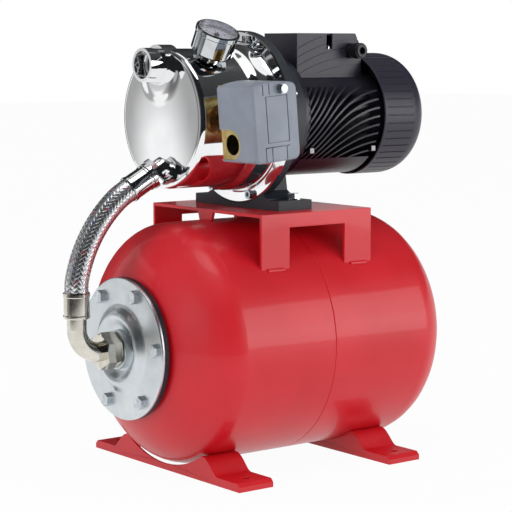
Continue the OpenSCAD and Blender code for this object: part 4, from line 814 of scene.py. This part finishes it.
cover_lo, cover_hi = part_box("fan_cover")
cover_r = cover_hi.y
cover_x1 = cover_lo.x
cover_x2 = cover_hi.x - 0.004
cover_wall = 0.002
cover_corner = 0.034
end_r = 0.028
groove_count = 48
groove_l = 0.046
groove_depth = 0.0011
nub_r = 0.010


def cover_line(d, steps):
    """Half section of the hood, d inside its surface: the rounded part, from side to end."""
    r = cover_r - d
    return [(cover_x2 - cover_corner + (cover_corner - d) * math.sin(math.pi / 2 * i / steps) ** 0.9,
             end_r + (r - end_r) * max(0.0, math.cos(math.pi / 2 * i / steps)) ** 0.9)
            for i in range(steps + 1)]


def groove_at(turn, x):
    """How deep the hood's surface is cut at an angle and a place along it."""
    pitch = 360 / groove_count
    off = abs((turn + pitch / 2) % pitch - pitch / 2)
    side = max(0.0, min(1.0, (0.62 - off) / 0.22))
    start = max(0.0, min(1.0, (x - cover_x1 - 0.004) / 0.0012))
    end = max(0.0, min(1.0, (cover_x1 + groove_l - x) / 0.0015))
    return groove_depth * side * min(start, end)


def hood():
    """The fan cover's mesh points and faces: a grooved drum with a domed end and a nub."""
    pitch = 360 / groove_count
    marks = [-0.66, -0.40, 0.40, 0.66, 2.2, 3.75, 5.3]
    turns = [pitch * k + m for k in range(groove_count) for m in marks]
    front = [cover_x1, cover_x1 + 0.0008, cover_x1 + 0.0038, cover_x1 + 0.0041, cover_x1 + 0.0054]
    straight_end = cover_x2 - cover_corner
    along = [(x, cover_r - (0.0008 if x == cover_x1 else 0)) for x in front]
    along += [(front[-1] + (straight_end - front[-1]) * i / 8, cover_r) for i in range(1, 8)]
    along += cover_line(0, 24)
    along += [(cover_x2, nub_r + 0.001), (cover_x2 + 0.0006, nub_r), (cover_x2 + 0.0034, nub_r - 0.0008),
              (cover_x2 + 0.004, nub_r - 0.002), (cover_x2 + 0.004, 0)]
    inside = [(cover_x2 - cover_wall, 0)] + list(reversed(cover_line(cover_wall, 16)))
    inside += [(cover_x1 + 0.001, cover_r - cover_wall), (cover_x1, cover_r - cover_wall + 0.0004)]
    profile = along + inside
    verts, faces = [], []
    for i, (x, r) in enumerate(profile):
        for turn in turns:
            depth = groove_at(turn, x) if i < len(along) else 0
            a = math.radians(turn)
            verts.append((x, (r - depth) * math.cos(a), pump_z + (r - depth) * math.sin(a)))
    n = len(turns)
    for i in range(len(profile)):
        if i == len(along) - 1:
            continue
        m = (i + 1) % len(profile)
        for k in range(n):
            q = (k + 1) % n
            faces.append((i * n + k, m * n + k, m * n + q, i * n + q))
    return verts, faces


def merged(name, things):
    """Several cutters as one."""
    shape = bmesh.new()
    for thing in things:
        shape.from_mesh(thing.data)
        bpy.data.objects.remove(thing)
    mesh = bpy.data.meshes.new(name)
    shape.to_mesh(mesh)
    shape.free()
    whole = bpy.data.objects.new(name, mesh)
    bpy.context.scene.collection.objects.link(whole)
    return whole


vent_count = 16
fan_hood = make("fan_hood", *hood(), slot="motor_plastic")
vents = [block("vent", (cover_x2 - 0.032, -0.0016, 0.015), (cover_x2 + 0.008, 0.0016, 0.047),
               Matrix.Translation((0, 0, pump_z)) @ Matrix.Rotation(2 * math.pi * i / vent_count, 4, "X"))
         for i in range(vent_count)]
carve(fan_hood, [merged("vents", vents)])
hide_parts("fan_cover")

# Injection-moulded polypropylene: blue-black, with the mould's fine spark texture.
moulding, tree, shader = surface("spark_textured_polypropylene", Roughness=0.4, IOR=1.49)
fine = noise(tree, 0.9, 3)
tree.links.new(tinted(tree, fine.outputs["Fac"], "#262431", "#322f3d"), shader.inputs["Base Color"])
tree.links.new(spread(tree, fine.outputs["Fac"], 0.32, 0.48), shader.inputs["Roughness"])
relief(tree, shader, fine.outputs["Fac"], 0.03)
fan_hood.data.materials.append(moulding)
eased(fan_hood, 0.25)


# ---------------------------------------------------------------- terminal box
# Moulded lid over the terminals and the capacitor. Its side grooves carry the sweep of the
# body's fins on, and two long screws in side pockets hold it down.

box_lo, box_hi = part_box("terminal_box")
lid_curve_r = 0.195
lid_centre_x = 0.125
lid_line_z = 0.460
fin_pitch = 0.0098


def lid_line(r):
    """Side view of a groove's line at radius r."""
    return [(-r * math.sin(math.radians(a)), r * math.cos(math.radians(a))) for a in range(-6, 31, 2)]


def side_grooves(side):
    """Cutters for the curved grooves in one side of the box, kept inside its border."""
    near, far = side * (box_hi.y - 0.0008), side * (box_hi.y + 0.002)
    lines = []
    for i in range(-2, 4):
        loop = lid_line(lid_curve_r + 0.0006) + list(reversed(lid_line(lid_curve_r - 0.0006)))
        at_z = lid_line_z + i * fin_pitch - lid_curve_r
        lines.append(prism("groove", [[(lid_centre_x + x, y, at_z + z) for x, z in loop]
                                      for y in (near, far)]))
    grooves = merged("grooves", lines)
    keep = grooves.modifiers.new("border", "BOOLEAN")
    keep.operation = "INTERSECT"
    keep.solver = "EXACT"
    border = block("border", (box_lo.x - 0.003, min(near, far) - 0.001, box_lo.z + 0.0045),
                   (box_hi.x + 0.003, max(near, far) + 0.001, box_hi.z - 0.004))
    keep.object = border
    bpy.context.view_layer.update()
    mesh = bpy.data.meshes.new_from_object(grooves.evaluated_get(bpy.context.evaluated_depsgraph_get()))
    grooves.modifiers.clear()
    grooves.data = mesh
    bpy.data.objects.remove(border)
    return grooves


lid = copy_of("terminal_box", "grooved_lid")
base_strip = [block("strip_line", (box_lo.x - 0.002, side * box_hi.y - 0.0007, box_lo.z + 0.0022),
                    (box_hi.x + 0.002, side * box_hi.y + 0.0007, box_lo.z + 0.0034)) for side in (-1, 1)]
carve(lid, [side_grooves(-1), side_grooves(1)] + base_strip)
lid.data.materials.append(moulding)
eased(lid, 0.9)

# Wax-sealed aluminium can in a white plastic sleeve.
sleeve, tree, shader = surface("white_capacitor_sleeve", Roughness=0.35)
fine = noise(tree, 4, 2)
tree.links.new(tinted(tree, fine.outputs["Fac"], "#d4d4d0", "#e4e4e0"), shader.inputs["Base Color"])
finished("capacitor", sleeve, 0.5)


# ---------------------------------------------------------------- gauge
# Chromed steel case screwed in a port of the casing, with a printed dial, a stamped pointer and
# a clear lens pressed in front.

ports_x = -0.0915
gauge_tilt = 28.7
dial_z = 0.103
gauge_frame = (Matrix.Translation((ports_x, 0, pump_z))
               @ Matrix.Rotation(math.radians(gauge_tilt), 4, "X"))

# Decorative chromium over nickel: a near-perfect mirror with a cold tint.
chrome, tree, shader = surface("decorative_chromium", Metallic=1.0, Roughness=0.06)
cloud = noise(tree, 15, 2)
tree.links.new(tinted(tree, cloud.outputs["Fac"], "#c5c9cd", "#d6d9dc"), shader.inputs["Base Color"])
tree.links.new(spread(tree, cloud.outputs["Fac"], 0.03, 0.09), shader.inputs["Roughness"])
finished("gauge_case", chrome, 0)

# Lacquered aluminium dial: white with a slight grey cast.
dial_paint, tree, shader = surface("lacquered_dial", Roughness=0.45)
cloud = noise(tree, 9, 2)
tree.links.new(tinted(tree, cloud.outputs["Fac"], "#b7b3be", "#c1bdc8"), shader.inputs["Base Color"])
finished("gauge_dial", dial_paint, 0)

# Screen-printing ink and the pointer's stoving black: flat, with thin spots.
ink, tree, shader = surface("black_printing_ink", Roughness=0.5)
fine = noise(tree, 0.8, 3)
tree.links.new(tinted(tree, fine.outputs["Fac"], "#141416", "#2c2c30"), shader.inputs["Base Color"])
finished("gauge_pointer", ink, 0.1)


def dial_print():
    """Scale marks over 270 degrees, every fifth one longer, joined by a thin arc."""
    verts, faces = [], []

    def bar(a, r1, r2, half):
        """A printed bar along the radius at angle a, between two radii and half wide each side."""
        along, across = Vector((math.cos(a), math.sin(a), 0)), Vector((-math.sin(a), math.cos(a), 0))
        start = len(verts)
        for z in (dial_z - 0.0001, dial_z + 0.00004):
            for r, w in ((r1, -half), (r2, -half), (r2, half), (r1, half)):
                point = along * r + across * w
                verts.append(tuple(gauge_frame @ Vector((point.x, point.y, z))))
        faces.extend([[start + k for k in loop] for loop in (
            (3, 2, 1, 0), (4, 5, 6, 7), (0, 1, 5, 4), (1, 2, 6, 5), (2, 3, 7, 6), (3, 0, 4, 7))])

    for i in range(51):
        a = math.radians(-45 + 270 * i / 50)
        bar(a, 0.0160 if i % 5 == 0 else 0.0178, 0.0198, 0.00028 if i % 5 == 0 else 0.00012)
        if i < 50:
            bar(a + math.radians(2.7), 0.0199, 0.0202, 0.00096)
    for i in range(0, 51, 10):
        bar(math.radians(-45 + 270 * i / 50), 0.0118, 0.0138, 0.0007)
    return verts, faces


marks = make("dial_marks", *dial_print(), slot="pointer_black", smooth=False)
marks.data.materials.append(ink)

# Clear polystyrene: hardly seen but for its reflections.
lens, tree, shader = surface("clear_polystyrene", Roughness=0.04, Alpha=0.06, IOR=1.59)
haze = noise(tree, 12, 2)
tree.links.new(spread(tree, haze.outputs["Fac"], 0.02, 0.07), shader.inputs["Roughness"])
finished("gauge_lens", lens, 0)


# ---------------------------------------------------------------- pressure switch
# A yellow zinc plated frame screwed on its brass diaphragm housing, under a painted steel cover
# that one cap nut holds. The cover's grooves frame a bare label field.

switch_lean = 5
switch_frame = (Matrix.Translation((ports_x, 0, pump_z))
                @ Matrix.Rotation(math.radians(-switch_lean), 4, "Y"))
half_l = 0.0295
back_y = -0.094
front_y = -0.155
low_z = -0.04116
high_z = 0.04284
cover_t = 0.002
stud_x = 0.008
stud_z = high_z - 0.008
entry_y = -0.112
entry_z = -0.022
entry_r = 0.016


def cover_outline(inset):
    """Front view of the cover: a flat bottom, four rounded corners and a gently arched top."""
    h, low, high = half_l - inset, low_z + inset, high_z - inset
    arch = [(x * h, high - 0.004 * x * x) for x in [0.84 - 1.75 * i / 16 for i in range(17)]]
    return (arc(-h + 0.005, low + 0.005, 0.005, 180, 270, 5) + arc(h - 0.008, low + 0.008, 0.008, 270, 360, 8)
            + arc(h - 0.007, high - 0.0094, 0.007, 0, 66, 6) + arch[1:-1]
            + arc(-h + 0.004, high - 0.0071, 0.004, 114, 180, 5))


def tray(inset, back, front, edge):
    """The cover's form from back to front, with its front edge rounded by edge."""
    steps = [(edge * (1 - math.cos(math.radians(a))), front + edge * (1 - math.sin(math.radians(a))))
             for a in (0, 18, 36, 54, 72, 90)]
    rings = [[(x, back, z) for x, z in cover_outline(inset)]]
    for lean_in, y in steps:
        rings.append([(x, y, z) for x, z in cover_outline(inset + lean_in)])
    return rings


def face_groove(x1, x2, z1, z2):
    """A groove in the cover's face, from distances to its left edge and below its top."""
    return block("face_groove", (-half_l + x1, front_y - 0.001, high_z - z2),
                 (-half_l + x2, front_y + 0.0014, high_z - z1), switch_frame)


cover = prism("painted_cover", tray(0, back_y, front_y, 0.0026), switch_frame)
cavity = prism("cavity", tray(cover_t, back_y + 0.004, front_y + cover_t, 0.0015), switch_frame)
entry = rod("entry", (-half_l - 0.001, entry_y, entry_z),
            (-half_l + cover_t + 0.001, entry_y, entry_z), entry_r)
entry.data.transform(switch_frame)
entry_slot = block("entry_slot", (-half_l - 0.001, entry_y, entry_z - entry_r),
                   (-half_l + cover_t + 0.001, back_y + 0.004, entry_z + entry_r), switch_frame)
stud_hole = rod("stud_hole", (stud_x, front_y - 0.001, stud_z), (stud_x, front_y + 0.004, stud_z), 0.0032)
stud_hole.data.transform(switch_frame)
grooves = [face_groove(x - 0.0006, x + 0.0006, -0.001, 0.013) for x in (0.0137, 0.0220, 0.0427)]
grooves += [face_groove(x - 0.0006, x + 0.0006, 0.0147, 0.0635) for x in (0.0170, 0.0450)]
grooves += [face_groove(0.0170, 0.0450, z - 0.0003, z + 0.0003) for z in (0.0150, 0.0632)]
grooves += [face_groove(x - 0.0006, x + 0.0006, 0.068, 0.086) for x in (0.0132, 0.0215, 0.0410)]
grooves += [face_groove(0.0126, 0.0450, 0.0674, 0.0686)]
carve(cover, [cavity, entry, entry_slot, stud_hole] + grooves)
cover.data.shade_smooth()
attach(cover, "base")
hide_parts("switch_cover")

# Powder coat on pressed steel: pale blue-grey satin with fine orange peel.
powder, tree, shader = surface("grey_powder_coat", Roughness=0.42, IOR=1.5)
cloud = noise(tree, 30, 2)
tree.links.new(tinted(tree, cloud.outputs["Fac"], "#848b96", "#9299a4"), shader.inputs["Base Color"])
peel = noise(tree, 1.4, 2)
relief(tree, shader, peel.outputs["Fac"], 0.03)
cover.data.materials.append(powder)
eased(cover, 0.25)

# Zinc with a yellow chromate: straw gold with green and pink clouds.
chromate, tree, shader = surface("yellow_chromated_zinc", Metallic=1.0, Roughness=0.34)
cloud = noise(tree, 8, 4)
tree.links.new(tinted(tree, cloud.outputs["Fac"], "#b79a54", "#d6c48e"), shader.inputs["Base Color"])
tree.links.new(spread(tree, cloud.outputs["Fac"], 0.26, 0.42), shader.inputs["Roughness"])
finished("switch_base", chromate, 0.3)

# Zinc on the turned cap nut: smoother than on the pressed bolts. Its colour is set darker than theirs as
# painted shade, to dim the nut's bright reflection of the side lamp.
shaded_nut_zinc, tree, shader = surface("turned_zinc_darkened_as_painted_shade", Metallic=1.0, Roughness=0.2)
rings = noise(tree, 0.8, 2, (1, 0.2, 1))
tree.links.new(tinted(tree, rings.outputs["Fac"], "#7f8388", "#9da1a6"), shader.inputs["Base Color"])
finished("switch_cap_nut", shaded_nut_zinc, 0)

# Hot-pressed brass with its brown scale left on.
scale_brass, tree, shader = surface("scaled_pressed_brass", Metallic=1.0, Roughness=0.42)
cloud = noise(tree, 5, 4)
tree.links.new(tinted(tree, cloud.outputs["Fac"], "#7d5632", "#b98a55"), shader.inputs["Base Color"])
relief(tree, shader, cloud.outputs["Fac"], 0.06)
finished("diaphragm_housing", scale_brass, 0.4)
